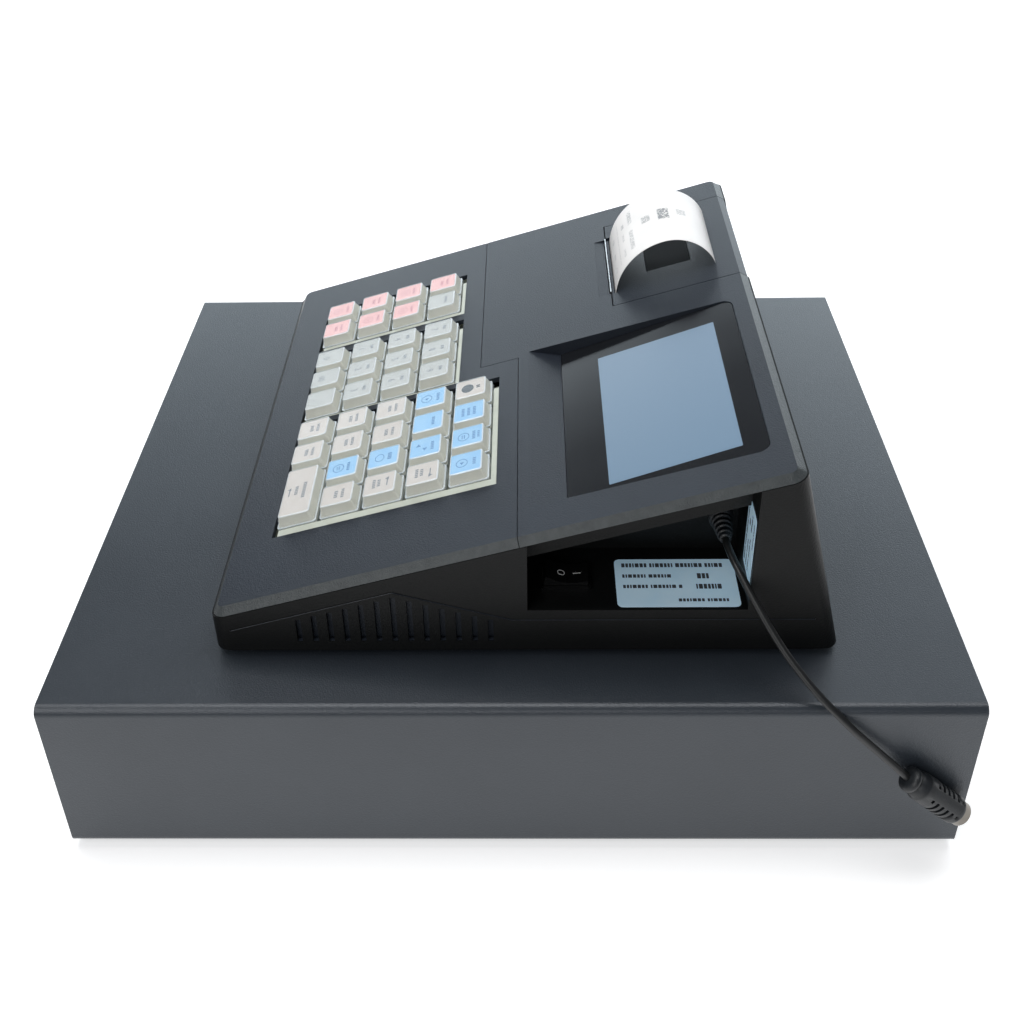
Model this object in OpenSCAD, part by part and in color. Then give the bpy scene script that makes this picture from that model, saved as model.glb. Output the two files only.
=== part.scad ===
// Counter ticket register: a sloped keyboard, display and slip printer unit
// that stands on a folded-steel cash drawer.
// Frame: X to the operator's right, Y to the rear, Z up.  The origin is at the
// centre of the drawer's footprint, on the surface that it stands on.

/* [Drawer case] */
// Width of the drawer, side to side
drawer_w = 330; // [310:5:380]
// Depth of the drawer, front to rear
drawer_d = 368; // [350:4:420]
// Height of the drawer above its feet
drawer_h = 79; // [74:1:98]
// Thickness of the folded steel
sheet_t = 1.2; // [0.8:0.1:1.6]
// Outer radius of the long folds
fold_r = 4; // [2.5:0.5:6]
// Width of the turned-in flanges under the case
flange_w = 12; // [8:1:18]
// Height of the rubber feet under the drawer
foot_h = 3; // [2.5:0.5:6]
// Diameter of the rubber feet under the drawer
foot_d = 18; // [12:1:24]
// Distance of each foot's centre from the case's edges
foot_inset = 24; // [20:1:34]

/* [Sliding drawer] */
// Thickness of the drawer's front panel
front_t = 9; // [7:0.5:12]
// Shut line round the front panel
front_gap = 0.6; // [0.4:0.1:1]
// Height of the slide rails in the case
rail_h = 16; // [12:1:20]
// Width of the slide rails
rail_w = 7; // [5:0.5:9]
// Height of the drawer's side walls
drawer_wall_h = 48; // [42:1:52]
// Length of each media slot in the front panel
slot_l = 92; // [60:2:100]
// Height of each media slot
slot_h = 3.4; // [2.5:0.1:3.8]
// Diameter of the lock cylinder
lock_d = 19; // [16:0.5:22]

/* [Cash tray] */
// Height of the tray
tray_h = 40; // [34:1:44]
// Thickness of the tray's walls
tray_t = 2; // [1.6:0.1:3]
// Depth of the note pockets, front to rear
note_d = 176; // [160:2:190]
// Number of note pockets
notes = 4; // [3:1:5]
// Number of coin cups
coins = 5; // [4:1:6]
// Length of each note clip
clip_l = 62; // [50:1:70]
// Width of each note clip
clip_w = 20; // [14:1:26]

/* [Register housing] */
// Width of the register
reg_w = 267; // [262:1:284]
// Height of the register's own feet
reg_foot_h = 3; // [2:0.5:4]
// Height of the cover's front edge above the drawer
front_rise = 23.4; // [22:0.2:28]
// Slope of the cover
slope = 16.4; // [14:0.2:18]
// Lean of the housing's rear wall
rear_lean = 13.8; // [12:0.2:18]
// Ledge of the housing in front of the cover and behind it
housing_lip = 0.8; // [0.4:0.1:1.2]
// Distance of the register's own feet from its sides
reg_foot_in = 25.5; // [20:0.5:30]
// Radius of the upright corners
corner_r = 6; // [4:0.5:8]
// Wall of the lower housing
wall = 2.5; // [2:0.1:3]
// Bevel round the cover's edge
bevel = 3; // [2:0.1:3.6]
// Shut line between moulded pieces
seam = 0.3; // [0.2:0.05:0.4]
// Thickness of the cover's plate
cover_t = 2.4; // [2:0.1:3]

/* [Vents] */
// Number of vent slots in a side
vents = 13; // [7:2:15]
// Spacing of the vent slots
vent_pitch = 6.37; // [5.6:0.1:6.6]
// Width of a vent slot
vent_w = 2.2; // [1.4:0.1:3]

/* [Keyboard] */
// Spacing of the keys
key_pitch = 19.05; // [18.8:0.05:19.6]
// Distance from the register's left side to the nearest keys' centres
bank_side = 44.6; // [44:0.1:48]
// Space between the first and second banks, beyond the pitch
bank_gap1 = 9.8; // [9:0.1:11]
// Space between the second and third banks, beyond the pitch
bank_gap2 = 5.85; // [5.5:0.05:7]
// Distance from the slope's front edge to the first keys' centres
key_front = 27.3; // [26:0.1:30]
// Width of a key cap at its skirt
cap_base = 17.8; // [17:0.1:18]
// Width of a key cap at its top
cap_top = 14; // [12:0.1:15]
// Height of a cap's top above the cover
cap_rise = 4.5; // [3.5:0.1:6]
// Depth of a cap's skirt below the cover
cap_sink = 2.2; // [1.5:0.1:3]
// Travel of a key
key_travel = 3.5; // [2.5:0.1:4]
// Diameter of a key's stem
stem_d = 6; // [4:0.2:7]
// Gap round a moving piece
run = 0.3; // [0.2:0.05:0.4]
// Radial clearance of a shaft in its bore
fit = 0.1; // [0.05:0.01:0.15]

/* [Display] */
// Width of the display glass
glass_w = 116.4; // [108:0.4:117]
// Depth of the display glass, front to rear
glass_d = 81; // [76:0.5:83]
// Length of the ramp in front of the glass
ramp_l = 13.8; // [12:0.1:16]
// Width of the cover behind the glass
rear_edge = 10.4; // [9:0.1:14]
// Drop of the glass below the cover at its front edge
glass_drop = 5.4; // [3:0.2:6.5]

/* [Slip printer] */
// Width of the paper
paper_w = 58; // [56:0.5:60]
// Diameter of the paper roll
roll_d = 48; // [40:1:50]
// Diameter of the platen roller
platen_d = 9; // [7:0.5:10]
// Width of the printer's lid
lid_w = 85; // [82:0.5:88]
// Length of the printer's lid
lid_l = 63.3; // [62:0.1:68]
// Diameter of the lid's hinge pins
pin_d = 3; // [2.5:0.1:3.4]

/* [Connections] */
// Length of the side bay for the connections
bay_l = 86.2; // [80:0.5:90]
// Depth of the side bay into the housing
bay_deep = 38; // [34:1:42]
// Length of the rocker switch's frame
switch_l = 21; // [19:0.5:22]
// Width of the rocker switch's frame
switch_w = 15; // [13:0.5:16]
// Diameter of the lead
cord_d = 3; // [2.6:0.1:3.4]

/* [Hidden] */
$fn = 48;
EPS = 0.01;

// Drawer, worked out
case_top = foot_h + drawer_h;
case_in_w = drawer_w - 2 * sheet_t;
floor_z = foot_h + sheet_t + seam;               // underside of the inner floor plate
floor_t = 1;
box_z = floor_z + floor_t + 1.5;                 // underside of the sliding drawer
box_w = case_in_w - 2 * rail_w - 4;
box_t = 1;
box_back = drawer_d / 2 - 34;                    // rear end of the sliding drawer
front_y = -drawer_d / 2;
front_in = front_y + front_t;
tray_w = box_w - 2 * box_t - 2 * run;
tray_y0 = front_in + 6;
tray_y1 = box_back - box_t - run;
tray_z = box_z + box_t + 0.05;
lock_z = box_z + drawer_wall_h * 0.62;

// Register, worked out
reg_x = 1.5;                                     // the register's centre line
reg_l = reg_x - reg_w / 2;
reg_r = reg_x + reg_w / 2;
base_z = case_top + reg_foot_h;
cover_y = -115.4;                                // front edge of the slope
cover_z = case_top + front_rise;
slope_front = -3.1;
front_face = cover_y - 2.1 - housing_lip;
part_h = -bevel;                                 // underside of the cover's edge
lip_h = part_h - seam;                           // top of the housing's wall
post_d = 7;
post_side = reg_w / 2 - wall - post_d / 2 - 7.5; // posts beside the keyboard
screw_posts = [[-post_side, -98], [post_side, -98], [-post_side, 20], [post_side, -4], [-16, 6],
    [-post_side, 98], [-16, 98], [post_side + 2.5, 103]];

// Keyboard, worked out: rows, columns and first row's x of each bank
bank_rows = [2, 3, 4];
bank_cols = [4, 4, 5];
bank_x0 = reg_l + bank_side;
bank_x1 = bank_x0 + bank_rows[0] * key_pitch + bank_gap1;
bank_x = [bank_x0, bank_x1, bank_x1 + bank_rows[1] * key_pitch + bank_gap2];
rim_near = [3.2, 1.2, 4.6];                      // pale rim beside each bank
rim_rear = [2.0, 2.0, 2.6];
rim_gap = 0.7;                                   // between caps and rim
plate_h = -cap_sink - key_travel - 0.8;          // top of the switch plate
plate_t = 2.5;
switch_deep = 6;
stem_h = plate_h - plate_t - 3;                  // lower end of a stem
side_gap = 1.2;                                  // open gap on the far and front sides

// Bank, row, column, length in rows, colour group of every key
function keys_of(b) = [for (r = [0 : bank_rows[b] - 1]) for (c = [0 : bank_cols[b] - 1])
    if (!(b == 2 && r == 3 && c == 0)) [b, r, c, (b == 2 && r == 2 && c == 0) ? 2 : 1]];
KEYS = concat(keys_of(0), keys_of(1), keys_of(2));
function key_name(k) = str("key_bank", k[0] + 1, "_row", k[1] + 1, "_col", k[2] + 1);
function key_x(k) = bank_x[k[0]] + (k[1] + (k[3] - 1) / 2) * key_pitch;
function key_s(k) = key_front + k[2] * key_pitch;
function key_tone(k) =
    k[0] == 0 ? ((k[1] == 1 && k[2] == 3) ? "grey" : "pink") :
    k[0] == 1 ? "grey" :
    ((k[1] == 0 && k[2] == 3) || (k[1] == 1 && k[2] >= 3) ||
     (k[1] == 2 && k[2] >= 1) || (k[1] == 3 && k[2] == 4)) ? "blue" : "ivory";
function tone_colour(t) = t == "pink" ? "#f2c0c0" : t == "blue" ? "#a4d4fb" :
    t == "grey" ? "#d0d3d0" : "#d9d5cd";
function bank_near(b) = bank_x[b] + (bank_rows[b] - 1) * key_pitch + cap_base / 2;
function bank_far(b) = bank_x[b] - cap_base / 2;
function bank_back(b) = key_front + (bank_cols[b] - 1) * key_pitch + cap_base / 2;
function bank_front() = key_front - cap_base / 2;
split_s = [bank_back(0) + 12.95, bank_back(2) + 12.2];   // shut line of the two covers
split_x = reg_l + 133.2;

// Display, worked out
glass_x0 = reg_l + 130.5;
ramp_s = split_s[1] + 5.1;                       // upper edge of the ramp in front of the glass
glass_s0 = ramp_s + ramp_l;
glass_s1 = glass_s0 + glass_d;
slope_rear = glass_s1 + rear_edge;
rear_foot_y = cover_y + slope_rear * cos(slope) + housing_lip
    + (cover_z + slope_rear * sin(slope) - base_z) * tan(rear_lean);
glass_tilt = atan(glass_drop / glass_d);
glass_t = 1.2;
module_t = 5.5;
glass_r = 5;                                     // its rear corners
ledge = 3;                                       // width of the ledge that carries it
tub_t = 2.4;

// Printer, worked out
print_x = reg_l + 66.5;                          // centre line of the paper
lid_front = 0.6;                                 // from the paper slot to the lid's front edge
slot_s = slope_rear - lid_l - lid_front;         // paper slot
lid_x0 = reg_l + 23;
lid_x1 = lid_x0 + lid_w;
lid_gap = 0.4;
pin_s = slope_rear - 6.5;
pin_h = -6;
tail_h = -11;                                    // lower edge of the lid's rear lip
notch_h = -13.3;
platen_s = slot_s + 2.1 + platen_d / 2;
platen_h = -4.5 - platen_d / 2;
roll_s = slope_rear - 5.7 - roll_d / 2;
roll_h = -9 - roll_d / 2;
core_d = 12;
shaft_d = 3;
cheek_x = paper_w / 2 + 6.1;
cheek_t = 2.5;
paper_t = 0.3;
arch = [[slot_s + 30.5, -11, 30], [slot_s + 30.5, -2.2, 21.2]];   // centre s, centre h, radius
slip_from = 167.5;                               // where the slip starts and ends, in degrees
slip_to = 8.5;
window_w = 34;
window_d = 22;
window_s = slot_s + 18.4;

// Connections, worked out
bay_y0 = 7.8;
bay_z = base_z + 21;
bay_x = reg_r - bay_deep;
bay_wall = 2;
bay_roof_h = -20;
switch_y = bay_y0 + 15.2;
switch_x = reg_r - 11.7 - switch_w / 2;
switch_body_h = 12;
rocker_l = switch_l - 3.4;
rocker_w = switch_w - 3.4;
rocker_rest = 8;                                 // degrees, pressed at its rear end
pivot_z = bay_z + 0.5;
jack_y = 85.5;
jack_z = 128.5;
jack_d = 6;
plug_d = 10;

// The lead's route, from the plug in the bay over the drawer's edge to its end plug
lead = [[119, 85.5, 128.5], [122, 85.7, 128.3], [124.9, 86.4, 127.4], [127.7, 87.3, 126.2],
    [130.8, 88.6, 124.6], [134, 90.4, 122.1], [137.4, 92.8, 118.4], [141.1, 95.8, 113.9],
    [145, 99.3, 108.8], [149, 103.3, 103.4], [153, 107.5, 98.2], [157, 112.1, 93.4],
    [160.9, 116.8, 88.9], [164.2, 121.7, 84.5], [166.5, 126.8, 79.8], [168, 132.2, 74.3],
    [168.8, 138.1, 68.4], [169.4, 144, 62.5], [170.3, 150, 56.8], [171.3, 155.8, 51]];
end_plug = lead[len(lead) - 1];
end_tilt = 41.4;                                 // the end plug's axis below level
end_plug_d = 12;
end_plug_l = 29;

// ---------------------------------------------------------------- helpers

// Flat rectangle with round corners, from its lower corner
module round_rect(w, h, r) {
    translate([r, 0]) square([w - 2 * r, h]);
    translate([0, r]) square([w, h - 2 * r]);
    for (x = [r, w - r], y = [r, h - r]) translate([x, y]) circle(r = r);
}

// Box from its lowest corner to its highest
module span(a, b) {
    translate(a) cube([b[0] - a[0], b[1] - a[1], b[2] - a[2]]);
}

// The register's sloped frame: x across, y along the slope from its front edge, z off it
module on_slope() {
    translate([0, cover_y, cover_z]) rotate([slope, 0, 0]) children();
}

// A rod along X between two x values, at a place in the current frame
module rod_x(x0, x1, y, z, d) {
    translate([x0, y, z]) rotate([0, 90, 0]) cylinder(h = x1 - x0, d = d);
}

// A plate along X whose outline is drawn in the current frame's y and z
module sheet_x(x0, x1) {
    translate([x0, 0, 0]) rotate([90, 0, 90]) linear_extrude(x1 - x0) children();
}

// Outline of an ear that hangs from a cover's plate round a pin
module ear(s, h, r) {
    translate([s, h]) circle(r = r);
    translate([s - r, h]) square([2 * r, -h - cover_t / 2]);
}

// Height of the sloped frame's surface h at a y of the register
function slope_z(y, h) = cover_z + (y - cover_y) * tan(slope) + h / cos(slope);

// ---------------------------------------------------------------- drawer

module drawer_cover() color("#4b525a")
    translate([0, drawer_d / 2, 0]) rotate([90, 0, 0]) linear_extrude(drawer_d) difference() {
        translate([-drawer_w / 2, foot_h]) round_rect(drawer_w, drawer_h, fold_r);
        translate([-case_in_w / 2, foot_h + sheet_t])
            round_rect(case_in_w, drawer_h - 2 * sheet_t, fold_r - sheet_t);
        translate([-drawer_w / 2 + flange_w, foot_h - 1])
            square([drawer_w - 2 * flange_w, sheet_t + 2]);
    }

module drawer_chassis() color("#8f9498") {
    half = case_in_w / 2 - seam;
    rear = drawer_d / 2 - sheet_t;
    difference() {
        union() {
            span([-half, front_in + 4, floor_z], [half, rear, floor_z + floor_t]);
            span([-half, rear - sheet_t, floor_z], [half, rear, case_top]);
            for (m = [0, 1]) mirror([m, 0, 0]) {
                // slide rail: an angle under the drawer's side and its upright web
                span([half - rail_w, front_in + 4, floor_z], [half, rear, floor_z + rail_h * 0.3]);
                span([half - 1.5, front_in + 4, floor_z], [half, rear, floor_z + rail_h]);
                span([half - rail_w, front_in + 4, floor_z + rail_h - 1.2],
                     [half, rear, floor_z + rail_h]);
            }
            // bracket of the release magnet, and its coil
            span([-20, rear - 16, floor_z], [20, rear, floor_z + 3]);
            span([-14, rear - 15, floor_z], [14, rear - 1, floor_z + 24]);
        }
        translate([drawer_w * 0.3, rear + 1, floor_z + 22]) rotate([90, 0, 0])
            cylinder(h = sheet_t + 2, d = 9);
        // all that lies beyond the case's round inner corners
        translate([0, drawer_d, 0]) rotate([90, 0, 0]) linear_extrude(2 * drawer_d) difference() {
            translate([-drawer_w, 0]) square([2 * drawer_w, 2 * case_top]);
            translate([-half, floor_z]) round_rect(2 * half, case_top - sheet_t - seam - floor_z, fold_r - sheet_t);
        }
    }
    // latch hook on the magnet's arm
    difference() {
        span([-5, rear - 27, floor_z + 10], [5, rear - 14.5, floor_z + 16]);
        translate([0, rear - 24.5, floor_z + 9]) cylinder(h = 8, d = 3);
    }
}

module rubber_feet() color("#17181a") {
    for (x = [-1, 1], y = [-1, 1])
        translate([x * (drawer_w / 2 - foot_inset), y * (drawer_d / 2 - foot_inset), 0]) difference() {
            union() {
                cylinder(h = foot_h - 1.5, d1 = foot_d - 2, d2 = foot_d);
                translate([0, 0, foot_h - 1.5]) cylinder(h = 1.5 + sheet_t + seam, d = foot_d);
            }
            translate([0, 0, -1]) cylinder(h = 2.5, d = 6);
        }
    for (x = [reg_l + reg_foot_in, reg_r - reg_foot_in], y = [front_face + reg_foot_in, rear_foot_y - reg_foot_in])
        translate([x, y, case_top]) cylinder(h = reg_foot_h, d1 = 12, d2 = 13);
}

module drawer_box() color("#464c54") {
    side_x = box_w / 2;
    panel_w = case_in_w - 2 * front_gap;
    panel_z0 = foot_h + sheet_t + front_gap;
    panel_z1 = case_top - sheet_t - front_gap;
    difference() {
        union() {
            span([-side_x, front_in, box_z], [side_x, box_back, box_z + box_t]);
            for (x = [-side_x, side_x - box_t])
                span([x, front_in, box_z], [x + box_t, box_back, box_z + drawer_wall_h]);
            span([-side_x, box_back - box_t, box_z], [side_x, box_back, box_z + drawer_wall_h]);
            // rolled upper hems of the side walls
            for (m = [0, 1]) mirror([m, 0, 0])
                translate([side_x - 0.9, front_in, box_z + drawer_wall_h]) rotate([-90, 0, 0])
                    cylinder(h = box_back - front_in, d = 1.8, $fn = 24);
            // glide blocks that run in the rails
            for (m = [0, 1]) mirror([m, 0, 0])
                span([side_x - box_t, box_back - 60, floor_z + rail_h * 0.3 + run],
                     [side_x + rail_w - 0.2, box_back - 4, floor_z + rail_h - 1.2 - run]);
            // catch for the latch
            span([-3, box_back - EPS, box_z + 8], [3, box_back + 5.5, box_z + 10]);
            // front panel with its inner tray-shaped back
            difference() {
                translate([-panel_w / 2, front_in, panel_z0]) rotate([90, 0, 0])
                    linear_extrude(front_t) round_rect(panel_w, panel_z1 - panel_z0, 2.4);
                span([-panel_w / 2 + 3, front_y + 2.5, panel_z0 + 3],
                     [-lock_d, front_in + 1, panel_z1 - 20]);
                span([lock_d, front_y + 2.5, panel_z0 + 3],
                     [panel_w / 2 - 3, front_in + 1, panel_z1 - 20]);
            }
        }
        for (m = [0, 1]) mirror([m, 0, 0])
            translate([lock_d + 18, front_y - 1, panel_z1 - 14]) rotate([90, 0, 0])
                mirror([0, 0, 1]) linear_extrude(front_t + 2) round_rect(slot_l, slot_h, 1.5);
        translate([0, front_y - 1, lock_z]) rotate([-90, 0, 0])
            cylinder(h = front_t + 2, d = lock_d + 2 * fit);
    }
}

// One note pocket's width and one coin cup's width
function pocket_w(n) = (tray_w - (n + 1) * tray_t) / n;

module cash_tray() color("#26282b") {
    cup_y0 = tray_y0 + tray_t;
    cup_y1 = tray_y1 - note_d - 2 * tray_t;
    cup_r = (cup_y1 - cup_y0) / 2;
    difference() {
        span([-tray_w / 2, tray_y0, tray_z], [tray_w / 2, tray_y1, tray_z + tray_h]);
        for (i = [0 : notes - 1])
            translate([-tray_w / 2 + tray_t + i * (pocket_w(notes) + tray_t),
                       tray_y1 - tray_t - note_d, tray_z + tray_t])
                linear_extrude(tray_h) round_rect(pocket_w(notes), note_d, 3);
        // coin cups with scooped floors
        for (i = [0 : coins - 1])
            translate([-tray_w / 2 + tray_t + i * (pocket_w(coins) + tray_t), 0, 0]) {
                rod_x(0, pocket_w(coins), (cup_y0 + cup_y1) / 2, tray_z + tray_t + cup_r, 2 * cup_r);
                span([0, cup_y0, tray_z + tray_t + cup_r], [pocket_w(coins), cup_y1, tray_z + tray_h + 1]);
            }
        // hollow under the cups' scooped floors
        difference() {
            span([-tray_w / 2 + tray_t, cup_y0, tray_z - 1],
                 [tray_w / 2 - tray_t, cup_y1, tray_z + tray_h - tray_t]);
            rod_x(-tray_w, tray_w, (cup_y0 + cup_y1) / 2, tray_z + tray_t + cup_r, 2 * (cup_r + tray_t));
        }
    }
    // bearings of the clip rod
    clip_y = tray_y1 - tray_t - 7;
    for (i = [1 : notes - 1])
        translate([-tray_w / 2 + tray_t / 2 + i * (pocket_w(notes) + tray_t), 0, 0]) difference() {
            span([-tray_t / 2, clip_y - 5, tray_z + tray_h - EPS],
                 [tray_t / 2, clip_y + 5, tray_z + tray_h + 6]);
            rod_x(-tray_t, tray_t, clip_y, tray_z + tray_h + 3, 3 + 2 * fit);
        }
}

module note_clips() color("#1d1e20") {
    clip_y = tray_y1 - tray_t - 7;
    clip_z = tray_z + tray_h + 3;
    reach = tray_w / 2 - tray_t - pocket_w(notes) / 4;
    union() {
        rod_x(-reach, reach, clip_y, clip_z, 3);
        for (i = [0 : notes - 1])
            translate([-tray_w / 2 + tray_t + (i + 0.5) * pocket_w(notes) + i * tray_t, clip_y, clip_z]) {
                rod_x(-clip_w / 2, clip_w / 2, 0, 0, 5.4);
                // leaf that bows down into the pocket
                sheet_x(-clip_w / 2, clip_w / 2) polygon([[0, 1.6], [-clip_l * 0.5, -4.4],
                    [-clip_l + 4, -13.4], [-clip_l, -10.8], [-clip_l - 1, -12.4],
                    [-clip_l + 3.6, -16.2], [-clip_l * 0.5, -7], [0, -1.6]]);
            }
    }
}

module lock_cylinder() color("#b9bcc0") difference() {
    translate([0, front_y + 0.4, lock_z]) rotate([-90, 0, 0]) {
        cylinder(h = 1.6, d = lock_d - 3);
        translate([0, 0, 1]) cylinder(h = front_t + 4, d = lock_d);
        // cam behind the panel
        translate([-4, -4, front_t + 2.5]) cube([8, 20, 2]);
    }
    translate([-0.9, front_y - 1, lock_z - 4]) cube([1.8, 6, 8]);
    translate([0, front_y - 1, lock_z + 0.5]) rotate([-90, 0, 0]) cylinder(h = 6, d = 3.6);
}

// ---------------------------------------------------------------- housing

// The register's outer form, inset by i, from height z0 up to h off the slope:
// upright at the front, leaning at the rear
module housing_form(i, z0, h) {
    r = corner_r - i * 0.8;
    intersection() {
        sheet_x(reg_l - 20, reg_r + 20) polygon([[-160, z0], [-160, slope_z(-160, h)],
            [200, slope_z(200, h)], [200, z0]]);
        translate([reg_l + i, front_face + i, z0 - 10])
            linear_extrude(200) round_rect(reg_w - 2 * i, 400, r);
        on_slope() translate([reg_l + i, slope_rear + housing_lip, 0]) rotate([rear_lean - slope, 0, 0])
            translate([0, -i - 400, -150]) linear_extrude(250) round_rect(reg_w - 2 * i, 400, r);
    }
}

// Path of the moulded groove over the vents, and of the vents' upper ends
groove_front = [-111, 95.5];
groove_peak = [-45, 115.4];
groove_foot = [1.7, 101];
groove_end = 121;
function groove_z(y) = y < groove_peak[0]
    ? groove_front[1] + (y - groove_front[0]) * (groove_peak[1] - groove_front[1]) / (groove_peak[0] - groove_front[0])
    : groove_peak[1] + (y - groove_peak[0]) * (groove_foot[1] - groove_peak[1]) / (groove_foot[0] - groove_peak[0]);

module side_groove(w, deep) {
    p = [groove_front, groove_peak, groove_foot, [groove_end, groove_foot[1]]];
    sheet_x(reg_r - deep, reg_r + 1)
        polygon(concat([for (q = p) [q[0], q[1] + w / 2]], [for (i = [3 : -1 : 0]) [p[i][0], p[i][1] - w / 2]]));
}

module vent_slots() {
    bottom = base_z + 4.7;
    for (i = [0 : vents - 1]) {
        y = groove_peak[0] + (i - (vents - 1) / 2) * vent_pitch;
        span([reg_l - 1, y - vent_w / 2, bottom], [reg_r + 1, y + vent_w / 2, groove_z(y) - 2.6]);
    }
}

// The side bay: its hollow, grown by g
module bay_hollow(g) {
    outer_x = glass_x0 + glass_w + run + tub_t + bay_wall + 0.6;
    // outer part, open up to the cover
    intersection() {
        span([outer_x - g, bay_y0 - g, bay_z - g], [reg_r + 1, bay_y0 + bay_l + g, cover_z + 90]);
        housing_form(-1, base_z, -cover_t - 0.4);
    }
    // inner part, under the display
    intersection() {
        span([bay_x - g, bay_y0 - g, bay_z - g], [reg_r, bay_y0 + bay_l + g, cover_z + 90]);
        on_slope() translate([0, -20, -150]) cube([200, 300, 150 + bay_roof_h + g]);
    }
}

module base_housing() color("#232526") difference() {
    union() {
        difference() {
            housing_form(0, base_z, lip_h);
            difference() {
                housing_form(wall, base_z + wall, lip_h + 5);
                intersection() {
                    bay_hollow(bay_wall);
                    on_slope() translate([-200, -20, -150]) cube([400, 300, 150 + lip_h]);
                }
            }
        }
        for (p = screw_posts)
            translate([reg_x + p[0], p[1], base_z + wall - EPS])
                cylinder(h = slope_z(p[1], -cover_t) - base_z - wall - 7, d = post_d);
    }
    bay_hollow(0);
    vent_slots();
    for (m = [0, 1]) translate([reg_x, 0, 0]) mirror([m, 0, 0]) translate([-reg_x, 0, 0])
        side_groove(0.8, 0.6);
    for (p = screw_posts)
        translate([reg_x + p[0], p[1], base_z - 1]) cylinder(h = 60, d = 3);
    // opening for the rocker switch's body
    translate([switch_x, switch_y, bay_z])
        cube([switch_w - 2 + 2 * run, switch_l - 2 + 2 * run, 10], center = true);
    // opening for the supply socket
    rod_x(bay_x - bay_wall - 1, bay_x + 1, jack_y, jack_z, 12);
    // notch in the rear wall for the lid's rear lip
    on_slope() span([lid_x0 - lid_gap, slope_rear - wall - 6, notch_h], [lid_x1 + lid_gap, slope_rear + 9, 20]);
}

// The whole cover as one shell, before it is cut in two
module cover_shell() difference() {
    hull() {
        for (x = [reg_l + corner_r, reg_r - corner_r], s = [slope_front + corner_r, slope_rear - corner_r])
            on_slope() {
                translate([x, s, part_h]) cylinder(h = EPS, r = corner_r, $fn = 32);
                translate([x, s, -EPS]) cylinder(h = EPS, r = corner_r - bevel, $fn = 32);
            }
    }
    hull()
        for (x = [reg_l + corner_r, reg_r - corner_r], s = [slope_front + corner_r, slope_rear - corner_r])
            on_slope() translate([x, s, part_h - 1])
                cylinder(h = bevel + 1 - cover_t, r = corner_r - wall, $fn = 32);
}

// Outline of the front cover on the slope; the shut line steps round the display
module front_outline(g) polygon([[reg_l - 5, slope_front - 5], [reg_r + 5, slope_front - 5],
    [reg_r + 5, split_s[1] - g], [split_x + g, split_s[1] - g], [split_x + g, split_s[0] - g],
    [reg_l - 5, split_s[0] - g]]);

module keyboard_cover() color("#4c5158") {
    intersection() {
        difference() {
            cover_shell();
            for (b = [0 : 2]) on_slope()
                span([bank_far(b) - side_gap, bank_front() - side_gap, -20],
                     [bank_near(b) + rim_gap + rim_near[b], bank_back(b) + rim_gap + rim_rear[b], 20]);
        }
        on_slope() translate([0, 0, -30]) linear_extrude(60) front_outline(seam / 2);
    }
    cover_posts(-200, 0);
}

// Screw posts under a cover, for the housing's posts between two y values
module cover_posts(y0, y1)
    for (p = screw_posts)
        if (p[1] > y0 && p[1] < y1)
            translate([reg_x + p[0], p[1], slope_z(p[1], -cover_t) - 6.6]) difference() {
                cylinder(h = 6.6 + post_d / 2 * tan(slope) + 0.2, d = post_d);
                translate([0, 0, -1]) cylinder(h = 6, d = 2.4);
            }

// The tub that holds the display, in the sloped frame
module display_tub() sheet_x(glass_x0 - run - tub_t, glass_x0 + glass_w + run + tub_t)
    polygon([[ramp_s - 3, -0.5], [ramp_s - 3, -cover_t], [glass_s0 - 3, -glass_drop - 5],
        [glass_s0 + 3, -glass_drop - 5], [glass_s1 + run + tub_t, -4.6], [glass_s1 + run + tub_t, -0.5]]);

// Outline of the glass, square at the front and rounded at the rear, grown by g
module glass_outline(g) translate([-g, -g]) {
    square([glass_w + 2 * g, glass_d / 2]);
    round_rect(glass_w + 2 * g, glass_d + 2 * g, glass_r + g);
}

// Hollow over the glass and over the ramp in front of it, a little wider than the glass pocket
module display_well() {
    g = run + 0.15;
    intersection() {
        sheet_x(glass_x0 - g - 5, glass_x0 + glass_w + g + 5)
            polygon([[ramp_s, 0], [glass_s0 - run, -glass_drop - 0.4], [glass_s1 + 5, -0.4],
                [glass_s1 + 5, 5], [ramp_s, 5]]);
        translate([glass_x0 - g, ramp_s - 20, -50]) linear_extrude(60)
            round_rect(glass_w + 2 * g, glass_s1 - ramp_s + 20 + g, glass_r + g);
    }
}

// The display's own frame: x from its far edge, y up the glass, z off the glass
module on_glass() on_slope() translate([glass_x0, glass_s1, -0.2]) rotate([glass_tilt, 0, 0])
    translate([0, -glass_d, 0]) children();

module rear_cover() color("#4c5158") {
    difference() {
        union() {
            difference() {
                cover_shell();
                on_slope() translate([0, 0, -30]) linear_extrude(60) front_outline(-seam / 2);
            }
            on_slope() display_tub();
            // bearings of the lid's hinge
            on_slope() for (x = [lid_x0 - lid_gap - 3, lid_x1 + lid_gap]) sheet_x(x, x + 3)
                ear(pin_s, pin_h, pin_d / 2 + 1.7);
        }
        on_slope() {
            display_well();
            // lid opening, open at the rear edge
            span([lid_x0 - lid_gap, slot_s, -40], [lid_x1 + lid_gap, slope_rear + 5, 20]);
            // opening for the tear bar's block
            span([print_x - paper_w / 2 + 0.5, slot_s - 5.8, -40], [print_x + paper_w / 2 + 0.9, slot_s + 1, 20]);
            for (x = [lid_x0 - lid_gap - 4, lid_x1 + lid_gap - 1])
                rod_x(x, x + 5, pin_s, pin_h, pin_d + 2 * fit);
        }
        on_glass() {
            translate([0, 0, -glass_t - 0.1]) linear_extrude(glass_t + 0.4) glass_outline(run);
            span([ledge - run, ledge - run, -20], [glass_w - ledge + run, glass_d - ledge + run, 0]);
        }
    }
    cover_posts(0, 200);
}

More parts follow.
